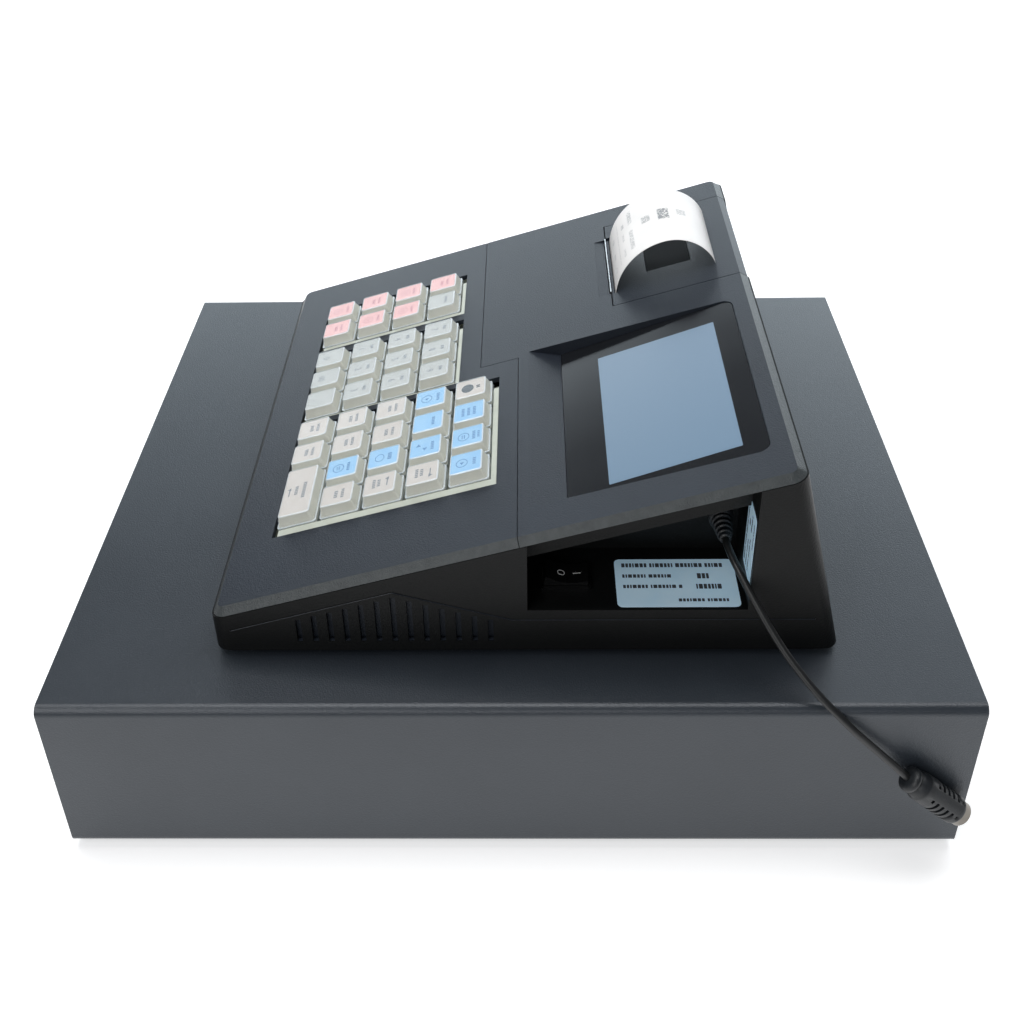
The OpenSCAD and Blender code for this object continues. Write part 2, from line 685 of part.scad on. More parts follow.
module display_module() on_glass() {
    color("#2c2e32") translate([0, 0, -glass_t]) linear_extrude(glass_t) glass_outline(0);
    color("#1c1d1f") span([ledge, ledge, -glass_t - module_t], [glass_w - ledge, glass_d - ledge, -glass_t + EPS]);
}

// ---------------------------------------------------------------- keyboard

module switch_plate() color("#c9ccc4") on_slope() difference() {
    union() {
        // the plate, deeper under the longest bank
        for (b = [0, 2])
            span([bank_far(b) - 4, bank_front() - 4, plate_h - plate_t],
                 [bank_near(2) + rim_near[2] + 4, bank_back(b) + 5, plate_h]);
        // rails that meet the underside of the cover
        for (x = [bank_far(0) - 4, bank_near(2) + rim_near[2] + 2.8])
            span([x, bank_front() - 4, plate_h - 1], [x + 1.2, bank_back(0) + 5, -cover_t - 0.05]);
        span([bank_far(0) - 4, bank_front() - 4, plate_h - 1], [bank_near(2) + rim_near[2] + 4, bank_front() - 2.8, -cover_t - 0.05]);
        span([bank_far(2) - 4, bank_back(2) + 3.8, plate_h - 1], [bank_near(2) + rim_near[2] + 4, bank_back(2) + 5, -cover_t - 0.05]);
        for (b = [0 : 2]) {
            near = bank_near(b) + rim_gap;
            back = bank_back(b) + rim_gap;
            span([near, bank_front() + 1, plate_h - 1], [near + rim_near[b] - 0.25, back + rim_rear[b] - 0.25, -0.4]);
            span([bank_far(b) + 7, back, plate_h - 1], [near + rim_near[b] - 0.25, back + rim_rear[b] - 0.25, -0.4]);
        }
        for (k = KEYS) translate([key_x(k), key_s(k), plate_h - plate_t - switch_deep / 2])
            cube([14, 14, switch_deep + EPS], center = true);
    }
    for (k = KEYS) translate([key_x(k), key_s(k), plate_h - plate_t - switch_deep - 1])
        cylinder(h = plate_t + switch_deep + 2, d = stem_d + 2 * fit);
}

// A flat-topped cap of two mouldings over its stem
module key(k) {
    long = cap_base + (k[3] - 1) * key_pitch;
    top = cap_top + (k[3] - 1) * key_pitch;
    on_slope() translate([key_x(k), key_s(k), 0]) {
        color("#b5cdd8") translate([-long / 2, -cap_base / 2, -cap_sink])
            linear_extrude(1) round_rect(long, cap_base, 1.6);
        color(tone_colour(key_tone(k))) hull() {
            for (x = [-1, 1], y = [-1, 1]) {
                translate([x * (long / 2 - 1.8), y * (cap_base / 2 - 1.8), -cap_sink + 1 - EPS])
                    cylinder(h = EPS, r = 1.5, $fn = 16);
                translate([x * (top / 2 - 1.5), y * (cap_top / 2 - 1.5), cap_rise - EPS])
                    cylinder(h = EPS, r = 1.5, $fn = 16);
            }
        }
        color("#e6e6e2") translate([0, 0, stem_h]) cylinder(h = -cap_sink - stem_h + EPS, d = stem_d);
    }
}

// ---------------------------------------------------------------- printer

module printer_mechanism() on_slope() translate([print_x, 0, 0]) {
    half = paper_w / 2;
    trough_r = roll_d / 2 + run + 2;
    color("#2b2d2f") difference() {
        union() {
            // trough of the roll
            intersection() {
                rod_x(-cheek_x, cheek_x, roll_s, roll_h, 2 * trough_r);
                span([-cheek_x - 1, roll_s - 40, roll_h - 40], [cheek_x + 1, roll_s + 40, roll_h + 8]);
            }
            // side cheeks from the print head to the trough
            for (x = [-cheek_x, cheek_x - cheek_t])
                span([x, slot_s - 8, roll_h - 4], [x + cheek_t, roll_s - 10, -14]);
            // print head's carrier
            span([-cheek_x, slot_s - 8, -26], [cheek_x, slot_s + 0.9, -5]);
            span([-half + 0.8, slot_s - 5.5, -6], [half + 0.6, slot_s - 1.5, -0.15]);
        }
        rod_x(-half - 0.2 - run, half + 0.2 + run, roll_s, roll_h, roll_d + 2 * run);
        span([-half - 0.2 - run, roll_s - roll_d / 2 - run, roll_h], [half + 0.2 + run, roll_s + roll_d / 2 + run, 0]);
        // slot for the tear bar
        span([-half - 0.6, slot_s - 1.4 - 0.1, -9], [half + 0.6, slot_s - 0.2 + 0.1, 2]);
        span([-half - 2, slot_s - 0.1, -8], [half + 2, slot_s + 2, 2]);
    }
    // tear bar
    color("#c9ccd0") span([-half + 0.8, slot_s - 1.4, -8.9], [half - 0.2, slot_s - 0.2, 0.7]);
    // legs down to the housing's floor
    color("#2b2d2f") for (x = [-cheek_x + 2, cheek_x - 6])
        translate([x, 0, 0]) rotate([-slope, 0, 0]) leg();
}

// A leg of the trough: an upright block whose top meets the trough
module leg() {
    // the trough's axis, seen upright from the slope's front edge
    y = roll_s * cos(slope) - roll_h * sin(slope);
    z = roll_s * sin(slope) + roll_h * cos(slope);
    foot = base_z + wall + 0.05 - cover_z;
    difference() {
        span([0, y - 12, foot], [4, y + 12, z - roll_d / 2 + 4]);
        rod_x(-1, 5, y, z, roll_d + 2 * run + 4 + 2 * EPS);
    }
}

module printer_lid() on_slope() {
    x0 = lid_x0;
    x1 = lid_x1;
    s0 = slot_s + lid_front;
    color("#4a4f56") difference() {
        union() {
            // plate with its bevelled rear edge and rear lip
            sheet_x(x0, x1) polygon([[s0, -cover_t], [s0, 0], [slope_rear - bevel, 0],
                [slope_rear, -bevel], [slope_rear, tail_h], [slope_rear - 2.2, tail_h],
                [slope_rear - 2.2, -cover_t - 1], [slope_rear - 3.6, -cover_t]]);
            // hinge arms and pins
            for (x = [x0 + 0.6, x1 - 3.6]) sheet_x(x, x + 3) ear(pin_s, pin_h, pin_d / 2 + 1.5);
            rod_x(x0 - lid_gap - 2.6, x0 + 1, pin_s, pin_h, pin_d);
            rod_x(x1 - 1, x1 + lid_gap + 2.6, pin_s, pin_h, pin_d);
            // ears of the platen
            for (x = [print_x - paper_w / 2 - 3.2, print_x + paper_w / 2 + 1.2]) sheet_x(x, x + 2)
                ear(platen_s, platen_h, shaft_d / 2 + 2);
            // stiffening ribs
            for (x = [print_x - 38, print_x + 36.4]) span([x, s0 + 14, -cover_t - 2.5], [x + 1.6, pin_s - 6, -cover_t + 0.5]);
        }
        // mouth for the paper
        span([print_x - paper_w / 2 - 0.9, s0 - 1, -10], [print_x + paper_w / 2 + 0.9, slot_s + 3.2, 5]);
        span([print_x - window_w / 2, window_s, -10], [print_x + window_w / 2, window_s + window_d, 5]);
        rod_x(print_x - 40, print_x + 40, platen_s, platen_h, shaft_d + 2 * fit);
    }
    // window pane
    color("#15171a") span([print_x - window_w / 2 + 0.2, window_s + 0.2, -1.6],
        [print_x + window_w / 2 - 0.2, window_s + window_d - 0.2, -0.3]);
}

module platen_roller() on_slope() {
    color("#1b1b1c") difference() {
        rod_x(print_x - paper_w / 2, print_x + paper_w / 2, platen_s, platen_h, platen_d);
        for (x = [print_x - paper_w / 2 - 1, print_x + paper_w / 2 - 2])
            translate([x, platen_s, platen_h]) rotate([0, 90, 0]) difference() {
                cylinder(h = 3, d = platen_d + 2);
                translate([0, 0, -1]) cylinder(h = 5, d = platen_d - 1.2);
            }
    }
    color("#c9ccd0") rod_x(print_x - paper_w / 2 - 3.8, print_x + paper_w / 2 + 3.8, platen_s, platen_h, shaft_d);
}

module paper_roll() color("#f4f4f2") on_slope() difference() {
    rod_x(print_x - paper_w / 2, print_x + paper_w / 2, roll_s, roll_h, roll_d);
    rod_x(print_x - paper_w / 2 - 1, print_x + paper_w / 2 + 1, roll_s, roll_h, core_d);
}

// The printed slip: two arcs that share their highest point
function arc(c, r, from, to, first) = [for (i = [first : 14]) let (t = from + (to - from) * i / 14)
    [c[0] + r * cos(t), c[1] + r * sin(t)]];
function slip_line(inset) = concat(arc(arch[0], arch[0][2] - inset, slip_from, 90, 0),
    arc(arch[1], arch[1][2] - inset, 90, slip_to, 1));
module receipt() color("#fbfbfa") on_slope()
    sheet_x(print_x - paper_w / 2 + 0.5, print_x + paper_w / 2 - 0.5) {
        inner = slip_line(paper_t);
        polygon(concat(slip_line(0), [for (i = [len(inner) - 1 : -1 : 0]) inner[i]]));
    }

// ---------------------------------------------------------------- connections

module port_board() {
    // rocker switch's body and frame
    color("#141516") difference() {
        union() {
            translate([switch_x - switch_w / 2, switch_y - switch_l / 2, bay_z])
                linear_extrude(1.2) round_rect(switch_w, switch_l, 1.4);
            span([switch_x - switch_w / 2 + 1, switch_y - switch_l / 2 + 1, bay_z - switch_body_h],
                 [switch_x + switch_w / 2 - 1, switch_y + switch_l / 2 - 1, bay_z + 0.5]);
        }
        span([switch_x - rocker_w / 2 - run, switch_y - rocker_l / 2 - 0.5, bay_z - 3.4],
             [switch_x + rocker_w / 2 + run, switch_y + rocker_l / 2 + 0.5, bay_z + 3]);
        rod_x(switch_x - rocker_w / 2 - 1.2, switch_x + rocker_w / 2 + 1.2, switch_y, pivot_z - 0.6, 2);
    }
    // circuit board, with the supply socket that looks into the bay
    board_x = bay_x - bay_wall - 12;
    color("#2f6b45") span([board_x, 58, base_z + wall + 4], [board_x + 1.6, 106, base_z + wall + 50]);
    color("#2f6b45") for (y = [62, 96]) span([board_x, y, base_z + wall + 0.05], [board_x + 4, y + 6, base_z + wall + 5]);
    color("#1a1b1c") difference() {
        union() {
            span([board_x + 1.5, jack_y - 5.5, jack_z - 5.5], [bay_x - bay_wall - 0.5, jack_y + 5.5, jack_z + 5.5]);
            rod_x(bay_x - bay_wall - 2, bay_x - 0.4, jack_y, jack_z, 11);
        }
        rod_x(board_x + 4, bay_x + 2, jack_y, jack_z, jack_d);
    }
}

module switch_rocker() color("#1b1c1d")
    translate([switch_x, switch_y, pivot_z - 0.6]) rotate([-rocker_rest, 0, 0]) union() {
        sheet_x(-rocker_w / 2, rocker_w / 2) polygon([[-rocker_l / 2 + 0.3, -1.2], [rocker_l / 2 - 0.3, -1.2],
            [rocker_l / 2, 1], [rocker_l / 2 - 0.2, 4.6], [rocker_l * 0.22, 3], [0, 2.5],
            [-rocker_l * 0.22, 3], [-rocker_l / 2 + 0.2, 4.6], [-rocker_l / 2, 1]]);
        rod_x(-rocker_w / 2 - 1, rocker_w / 2 + 1, 0, 0, 2 - 2 * fit);
    }

// Sweeps a ring of n sides along points, with the ring square to the path
function unit(v) = v / norm(v);
function path_dir(p, i) = unit(p[min(i + 1, len(p) - 1)] - p[max(i - 1, 0)]);
function ring(c, d, r, n) = let (u = unit(cross(d, [0, 0, 1])), w = cross(u, d))
    [for (j = [0 : n - 1]) c + r * (cos(360 * j / n) * u + sin(360 * j / n) * w)];
module tube(p, r, n) {
    m = len(p);
    points = [for (i = [0 : m - 1]) each ring(p[i], path_dir(p, i), r, n)];
    sides = [for (i = [0 : m - 2]) for (j = [0 : n - 1])
        [i * n + j, i * n + (j + 1) % n, (i + 1) * n + (j + 1) % n, (i + 1) * n + j]];
    polyhedron(points, concat([[for (j = [n - 1 : -1 : 0]) j]], sides,
        [[for (j = [0 : n - 1]) (m - 1) * n + j]]));
}

module lead_cord() color("#2a2b2d") tube(lead, cord_d / 2, 10);

module lead_plugs() {
    // plug in the bay: pin, body and ribbed relief
    relief_x = lead[0][0];
    color("#232425") {
        rod_x(bay_x - 8, bay_x + 1, jack_y, jack_z, jack_d - 2 * run);
        rod_x(bay_x + 0.3, relief_x - 12, jack_y, jack_z, plug_d);
        translate([relief_x - 12.01, jack_y, jack_z]) rotate([0, 90, 0])
            cylinder(h = 12, d1 = plug_d - 2, d2 = cord_d + 1.6);
        for (i = [0 : 3]) rod_x(relief_x - 11 + i * 2.6, relief_x - 9.8 + i * 2.6, jack_y, jack_z, plug_d - 1.4 - i * 0.9);
    }
    // plug on the free end
    collar_l = 6.4;
    groove_turn = -31;                           // turns the grooves away from the drawer's side
    translate(end_plug) rotate([-90 - end_tilt, 0, 0]) {
        color("#232425") difference() {
            union() {
                cylinder(h = 1.6, d1 = end_plug_d - 5, d2 = end_plug_d - 1.6);
                translate([0, 0, 1.5]) cylinder(h = collar_l - 1.4, d = end_plug_d - 1.6);
                translate([0, 0, collar_l]) cylinder(h = 1, d1 = end_plug_d - 1.6, d2 = end_plug_d);
                translate([0, 0, collar_l + 0.9]) cylinder(h = end_plug_l - collar_l - 0.9, d = end_plug_d);
            }
            // two rows of finger grooves, with a smooth strip between them
            for (i = [0 : 5], side = [0, 1]) rotate(groove_turn + 180 * side)
                translate([0, 0, collar_l + 6.6 + i * 2.6]) intersection() {
                    difference() {
                        cylinder(h = 1.1, d = end_plug_d + 2);
                        translate([0, 0, -1]) cylinder(h = 3, d = end_plug_d - 1.7);
                    }
                    translate([-end_plug_d, end_plug_d * 0.24, -1]) cube([2 * end_plug_d, end_plug_d, 3]);
                }
        }
        color("#b9bcc0") translate([0, 0, end_plug_l]) difference() {
            cylinder(h = 4.4, d = end_plug_d - 1.8);
            translate([0, 0, 1]) cylinder(h = 5, d = end_plug_d - 3.2);
        }
    }
}

// ---------------------------------------------------------------- pieces

drawer_cover();
drawer_chassis();
rubber_feet();
drawer_box();
cash_tray();
note_clips();
lock_cylinder();
base_housing();
keyboard_cover();
rear_cover();
switch_plate();
display_module();
printer_mechanism();
printer_lid();
platen_roller();
paper_roll();
receipt();
port_board();
switch_rocker();
lead_cord();
lead_plugs();
for (k = KEYS) key(k);
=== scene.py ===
import math

import bmesh
import bpy
from mathutils import Matrix, Vector


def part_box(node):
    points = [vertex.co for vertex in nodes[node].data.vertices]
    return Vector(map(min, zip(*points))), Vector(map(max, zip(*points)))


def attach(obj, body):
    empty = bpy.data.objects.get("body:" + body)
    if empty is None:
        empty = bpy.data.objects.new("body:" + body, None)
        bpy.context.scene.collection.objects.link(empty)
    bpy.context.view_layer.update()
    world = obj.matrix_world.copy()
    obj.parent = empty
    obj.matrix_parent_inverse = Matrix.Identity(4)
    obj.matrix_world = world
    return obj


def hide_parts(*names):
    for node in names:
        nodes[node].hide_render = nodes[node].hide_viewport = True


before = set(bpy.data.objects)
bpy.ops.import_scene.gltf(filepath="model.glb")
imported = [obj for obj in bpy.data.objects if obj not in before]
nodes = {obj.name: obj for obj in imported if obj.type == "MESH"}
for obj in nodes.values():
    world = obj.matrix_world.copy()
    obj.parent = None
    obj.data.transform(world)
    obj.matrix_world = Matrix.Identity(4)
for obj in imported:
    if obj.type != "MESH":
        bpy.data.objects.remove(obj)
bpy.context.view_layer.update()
print("frame loaded:", len(nodes), "nodes")

bpy.context.scene.view_settings.view_transform = "Standard"

# the register's sloped top: x across, y up the slope from its front edge, z off it, all in mm
slopeTop = {"frontY": -115.4, "frontZ": 105.4, "angle": 16.4}
metres = Matrix.Scale(0.001, 4)
slopePlace = (metres @ Matrix.Translation((0, slopeTop["frontY"], slopeTop["frontZ"]))
              @ Matrix.Rotation(math.radians(slopeTop["angle"]), 4, "X"))
offSlope = slopePlace.inverted() @ metres     # from the frame, in mm, to the slope


def toLinear(hexText):
    # sRGB hex to the linear colour that shaders use
    parts = [int(hexText[i:i + 2], 16) / 255 for i in (1, 3, 5)]
    return [p / 12.92 if p <= 0.04045 else ((p + 0.055) / 1.055) ** 2.4 for p in parts] + [1.0]


def addNode(tree, kind, values=None, links=None, **settings):
    # one node with its settings, socket values and incoming links
    node = tree.nodes.new(kind)
    for name, value in settings.items():
        setattr(node, name, value)
    for socket, value in (values or {}).items():
        node.inputs[socket].default_value = value
    for socket, source in (links or {}).items():
        tree.links.new(source, node.inputs[socket])
    return node


def startMaterial(name):
    material = bpy.data.materials.new(name)
    material.use_nodes = True
    tree = material.node_tree
    tree.nodes.clear()
    return material, tree


def endMaterial(material, tree, values, links):
    shader = addNode(tree, "ShaderNodeBsdfPrincipled", values, links)
    addNode(tree, "ShaderNodeOutputMaterial", links={"Surface": shader.outputs[0]})
    return material


def newPiece(name, bm, place, body, materials, smooth):
    # a finished mesh at the origin, with its place in its vertices; edges over smooth stay sharp
    bm.transform(place)
    mesh = bpy.data.meshes.new(name)
    bm.to_mesh(mesh)
    bm.free()
    for material in materials:
        mesh.materials.append(material)
    mesh.shade_smooth()
    mesh.set_sharp_from_angle(angle=math.radians(smooth))
    piece = bpy.data.objects.new(name, mesh)
    bpy.context.scene.collection.objects.link(piece)
    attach(piece, body)
    return piece


def dressNode(name, body, materials, finishOf, flat=(), shapeIt=None):
    # a copy of a CAD piece whose faces take different finishes; those in flat are not shaded round
    bm = bmesh.new()
    bm.from_mesh(nodes[name].data)
    bmesh.ops.remove_doubles(bm, verts=bm.verts, dist=0.00001)
    if shapeIt:
        shapeIt(bm)
    for face in bm.faces:
        face.material_index = finishOf(face.calc_center_median() * 1000)
    piece = newPiece(name + "Dressed", bm, Matrix(), body, materials, 35)
    for polygon in piece.data.polygons:
        polygon.use_smooth = polygon.material_index not in flat
    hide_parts(name)


def joinInto(bm, other):
    # puts a second shape into the first and frees it
    mesh = bpy.data.meshes.new("joined")
    other.to_mesh(mesh)
    other.free()
    bm.from_mesh(mesh)
    bpy.data.meshes.remove(mesh)


def paintFaces(verts, material):
    faces = list({f for v in verts for f in v.link_faces})
    for face in faces:
        face.material_index = material
    return faces


def addBox(bm, size, centre, material=0):
    made = bmesh.ops.create_cube(bm, size=1.0)["verts"]
    bmesh.ops.scale(bm, vec=size, verts=made)
    bmesh.ops.translate(bm, vec=centre, verts=made)
    paintFaces(made, material)
    return made


def addLathe(bm, outline, segments):
    # a round body about z from its outline of distances and radii, which runs from axis to axis
    line = [bm.verts.new((radius, 0, along)) for along, radius in outline]
    edges = [bm.edges.new(pair) for pair in zip(line, line[1:])]
    bmesh.ops.spin(bm, geom=line + edges, cent=(0, 0, 0), axis=(0, 0, 1), angle=math.tau,
                   steps=segments, use_merge=True)
    bmesh.ops.remove_doubles(bm, verts=bm.verts, dist=0.001)
    bmesh.ops.recalc_face_normals(bm, faces=bm.faces)


def bevelEdges(bm, edges, width, segments):
    return bmesh.ops.bevel(bm, geom=list(edges), offset=width, offset_type="OFFSET",
                           segments=segments, profile=0.5, affect="EDGES", material=-1)


def uprightEdges(verts, height):
    return {e for v in verts for e in v.link_edges
            if abs(e.verts[0].co.z - e.verts[1].co.z) > height / 2}


def addPlate(bm, width, depth, height, centre, radius, material=0, segments=4):
    # a plate with round corners
    made = addBox(bm, (width, depth, height), centre, material)
    bevelEdges(bm, uprightEdges(made, height), radius, segments)


def objectNoise(tree, size, detail, roughness=0.5):
    # noise on the piece's own coordinates; size is its largest blots', in metres
    coords = addNode(tree, "ShaderNodeTexCoord")
    noise = addNode(tree, "ShaderNodeTexNoise",
                    {"Scale": 1 / size, "Detail": detail, "Roughness": roughness},
                    {"Vector": coords.outputs["Object"]})
    return noise.outputs["Fac"]


def grainBump(tree, grain, strength, depth):
    # a fine bump; grain is its size, in metres as its depth is
    bump = addNode(tree, "ShaderNodeBump", {"Strength": strength, "Distance": depth},
                   {"Height": objectNoise(tree, grain, 3.0, 0.6)})
    return bump.outputs["Normal"]


def mottledColour(tree, low, high, size):
    # slow drift between two close tones
    ramp = addNode(tree, "ShaderNodeValToRGB", links={"Fac": objectNoise(tree, size, 4.0, 0.55)})
    for element, place, tone in zip(ramp.color_ramp.elements, (0.3, 0.7), (low, high)):
        element.position = place
        element.color = toLinear(tone)
    return ramp.outputs["Color"]


def roughnessDrift(tree, low, high, size):
    drift = addNode(tree, "ShaderNodeMapRange", {"To Min": low, "To Max": high},
                    {"Value": objectNoise(tree, size, 2.0)})
    return drift.outputs["Result"]


def grainedSurface(name, look):
    # a moulded, cast or sprayed surface: tone drift, roughness drift and a fine grain
    material, tree = startMaterial(name)
    return endMaterial(
        material, tree,
        {"IOR": look.get("ior", 1.5), "Metallic": look.get("metallic", 0.0),
         "Specular IOR Level": look.get("specular", 0.5), "Coat Weight": look.get("coat", 0.0),
         "Coat Roughness": 0.1},
        {"Base Color": mottledColour(tree, look["low"], look["high"], look["drift"]),
         "Roughness": roughnessDrift(tree, *look["rough"], look["drift"]),
         "Normal": grainBump(tree, look["grain"], look["bump"], look["grain"] * 0.4)})


# sizes of tone drift and grain are in metres; the true grain of moulded, plated, ground and paper
# skins is about 0.1 mm, too fine to show from here, and is drawn as coarse as it needs to show
looks = {
    # polyester powder coat, sprayed and baked: satin, a fine sandy skin and a faint metallic fleck
    "powderCoatDarkGrey": {"low": "#2c3239", "high": "#32383f", "drift": 0.06, "rough": (0.3, 0.35),
                           "grain": 0.0007, "bump": 0.5, "metallic": 0.2, "specular": 0.64},
    # black-passivated zinc on sheet steel: dark grey, a small faint spangle and a metal sheen
    "zincPlatedSteel": {"low": "#54585c", "high": "#5f6367", "drift": 0.007, "rough": (0.36, 0.46),
                        "grain": 0.0006, "bump": 0.15, "metallic": 1.0},
    # ABS moulded in a spark-eroded tool: slate grey, dry sheen, even fine grain
    "sparkErodedAbsSlate": {"low": "#20252d", "high": "#252b34", "drift": 0.06,
                            "rough": (0.36, 0.42), "grain": 0.0007, "bump": 0.5, "specular": 0.33},
    # the same ABS on the covers' bevelled rims, in a lighter tone as a painted highlight of the
    # light the rims catch, and a little glossier
    "absSlateRimPaintedHighlight": {"low": "#2d3234", "high": "#3a3f40", "drift": 0.004, "rough": (0.32, 0.4),
                       "grain": 0.0008, "bump": 0.7, "specular": 0.42},
    # the same ABS in near black, a little coarser
    "sparkErodedAbsBlack": {"low": "#0d0e0e", "high": "#111212", "drift": 0.05,
                            "rough": (0.4, 0.48), "grain": 0.0008, "bump": 0.5, "specular": 0.2},
    # moulded polystyrene of the insert: matte, near black
    "trayPolystyrene": {"low": "#222427", "high": "#2a2c30", "drift": 0.04, "rough": (0.5, 0.62),
                        "grain": 0.001, "bump": 0.3},
    # natural rubber of the feet and rollers: flat black
    "blackRubber": {"low": "#141415", "high": "#1c1c1e", "drift": 0.01, "rough": (0.65, 0.8),
                    "grain": 0.0006, "bump": 0.3},
    # flexible PVC of the lead: black with a soft sheen
    "leadPvc": {"low": "#131414", "high": "#191a1b", "drift": 0.02, "rough": (0.3, 0.4),
                "grain": 0.0008, "bump": 0.12},
    # harder PVC moulded round the plugs: dull black, worn slightly grey where it is handled
    "plugPvc": {"low": "#101316", "high": "#1a1e22", "drift": 0.004, "rough": (0.36, 0.5),
                "grain": 0.0007, "bump": 0.35},
    # polycarbonate of the printer's carriers: dark grey with a dull sheen
    "carrierPolycarbonate": {"low": "#1c1e20", "high": "#25272a", "drift": 0.03,
                             "rough": (0.4, 0.5), "grain": 0.0008, "bump": 0.2},
    # smoked acrylic pane of the printer's window, opaque: a deep even black that gives back little
    # reflection
    "smokedAcrylicPane": {"low": "#08090a", "high": "#0b0c0e", "drift": 0.03, "rough": (0.3, 0.36),
                          "grain": 0.002, "bump": 0.02, "ior": 1.15, "specular": 0.2},
    # nylon of the rocker switch: black, moulded in a polished tool
    "switchNylon": {"low": "#0b0c0c", "high": "#101011", "drift": 0.02, "rough": (0.2, 0.28),
                    "grain": 0.0012, "bump": 0.05, "coat": 0.3},
    # milky polystyrene of the switch plate and its rims, faintly green
    "milkyPolystyrene": {"low": "#b7bcb0", "high": "#c4c9bd", "drift": 0.012, "rough": (0.3, 0.4),
                         "grain": 0.001, "bump": 0.1},
    # chrome-plated zinc of the lock: bright
    "chromePlate": {"low": "#b9bcbf", "high": "#c9ccce", "drift": 0.01, "rough": (0.12, 0.2),
                    "grain": 0.0008, "bump": 0.05, "metallic": 1.0},
    # nickel-plated brass of the plug's sleeve, dulled by handling
    "dullNickel": {"low": "#7d776e", "high": "#958f86", "drift": 0.004, "rough": (0.3, 0.42),
                   "grain": 0.0005, "bump": 0.1, "metallic": 1.0},
    # ground and brushed steel of the tear bar and the shaft
    "brushedSteel": {"low": "#c3c6c8", "high": "#dcdedf", "drift": 0.003, "rough": (0.22, 0.36),
                     "grain": 0.0005, "bump": 0.2, "metallic": 1.0},
    # coated paper of the roll, seen at its cut ends and its skin
    "rollPaper": {"low": "#eceae6", "high": "#f6f5f2", "drift": 0.01, "rough": (0.55, 0.65),
                  "grain": 0.0005, "bump": 0.1},
    # grey board of the roll's core
    "greyBoardCore": {"low": "#9b8f7c", "high": "#aea38f", "drift": 0.003, "rough": (0.8, 0.9),
                      "grain": 0.0008, "bump": 0.4},
}


def keyBodyMaterial(name, low, high):
    # injection-moulded ABS key body, slightly glossy, with light scattering in its skin
    material, tree = startMaterial(name)
    return endMaterial(
        material, tree,
        {"IOR": 1.5, "Subsurface Weight": 0.15, "Subsurface Scale": 0.001,
         "Subsurface Radius": (1.0, 0.9, 0.8), "Roughness": 0.35},
        {"Base Color": mottledColour(tree, low, high, 0.006),
         "Normal": grainBump(tree, 0.0012, 0.1, 0.0004)})


def printMaterial(name, tone):
    # screen ink: flat, a little uneven in its density
    material, tree = startMaterial(name)
    low = "#" + "".join(f"{max(0, int(tone[i:i + 2], 16) - 10):02x}" for i in (1, 3, 5))
    return endMaterial(material, tree, {"Roughness": 0.6},
                       {"Base Color": mottledColour(tree, low, tone, 0.002)})


def clearCapMaterial(name, alpha, low, high):
    # clear polished acrylic, moulded thin: shows what is under it, with a pale blue veil and a
    # sharp gloss
    material, tree = startMaterial(name)
    wave = addNode(tree, "ShaderNodeBump", {"Strength": 0.05, "Distance": 0.0001},
                   {"Height": objectNoise(tree, 0.0025, 2.0)})
    return endMaterial(
        material, tree,
        {"IOR": 1.49, "Roughness": 0.1, "Alpha": alpha, "Specular IOR Level": 1.0},
        {"Base Color": mottledColour(tree, low, high, 0.004), "Normal": wave.outputs["Normal"]})


def glassMaterial():
    # black-backed cover glass, etched against glare: a deep black under a soft reflection
    material, tree = startMaterial("blackBackedGlass")
    return endMaterial(material, tree, {"IOR": 1.52},
                       {"Base Color": mottledColour(tree, "#111316", "#15171b", 0.05),
                        "Roughness": roughnessDrift(tree, 0.17, 0.21, 0.03)})


def screenMaterial():
    # liquid-crystal panel that is off, under the glass: pale blue-grey, painted a little lighter
    # and warmer towards its far side as a painted sheen
    material, tree = startMaterial("panelGlass")
    coords = addNode(tree, "ShaderNodeTexCoord")
    place = addNode(tree, "ShaderNodeMapping",
                    {"Location": (0.02, 0.0, 0.0), "Scale": (9.0, 9.0, 0.0)},
                    {"Vector": coords.outputs["Object"]})
    sweep = addNode(tree, "ShaderNodeTexGradient", links={"Vector": place.outputs["Vector"]})
    ramp = addNode(tree, "ShaderNodeValToRGB", links={"Fac": sweep.outputs["Fac"]})
    # lighter tone at the far side: painted sheen
    for element, tone in zip(ramp.color_ramp.elements, ("#758ca2", "#6e889f")):
        element.color = toLinear(tone)
    return endMaterial(
        material, tree,
        {"IOR": 1.52, "Roughness": 0.3, "Coat Weight": 0.25, "Coat Roughness": 0.3},
        {"Base Color": ramp.outputs["Color"]})


def foilMaterial():
    # self-adhesive label of silvered polyester: cool, softly brushed along its length, with a faint
    # painted glow so that it stays legible in the bay's shade
    material, tree = startMaterial("silveredLabelPaintedGlow")
    coords = addNode(tree, "ShaderNodeTexCoord")
    stretch = addNode(tree, "ShaderNodeMapping", {"Scale": (4000.0, 120.0, 120.0)},
                      {"Vector": coords.outputs["Object"]})
    brush = addNode(tree, "ShaderNodeTexNoise", {"Scale": 1.0, "Detail": 2.0},
                    {"Vector": stretch.outputs["Vector"]})
    bump = addNode(tree, "ShaderNodeBump", {"Strength": 0.1, "Distance": 0.00005},
                   {"Height": brush.outputs["Fac"]})
    return endMaterial(
        material, tree,
        # faint blue emission: a painted glow, since no lamp reaches the label in the bay
        {"Metallic": 0.15, "Roughness": 0.4, "Emission Color": toLinear("#aae1ff"),
         "Emission Strength": 0.13},
        {"Base Color": mottledColour(tree, "#d6eefc", "#e2f4ff", 0.01),
         "Normal": bump.outputs["Normal"]})


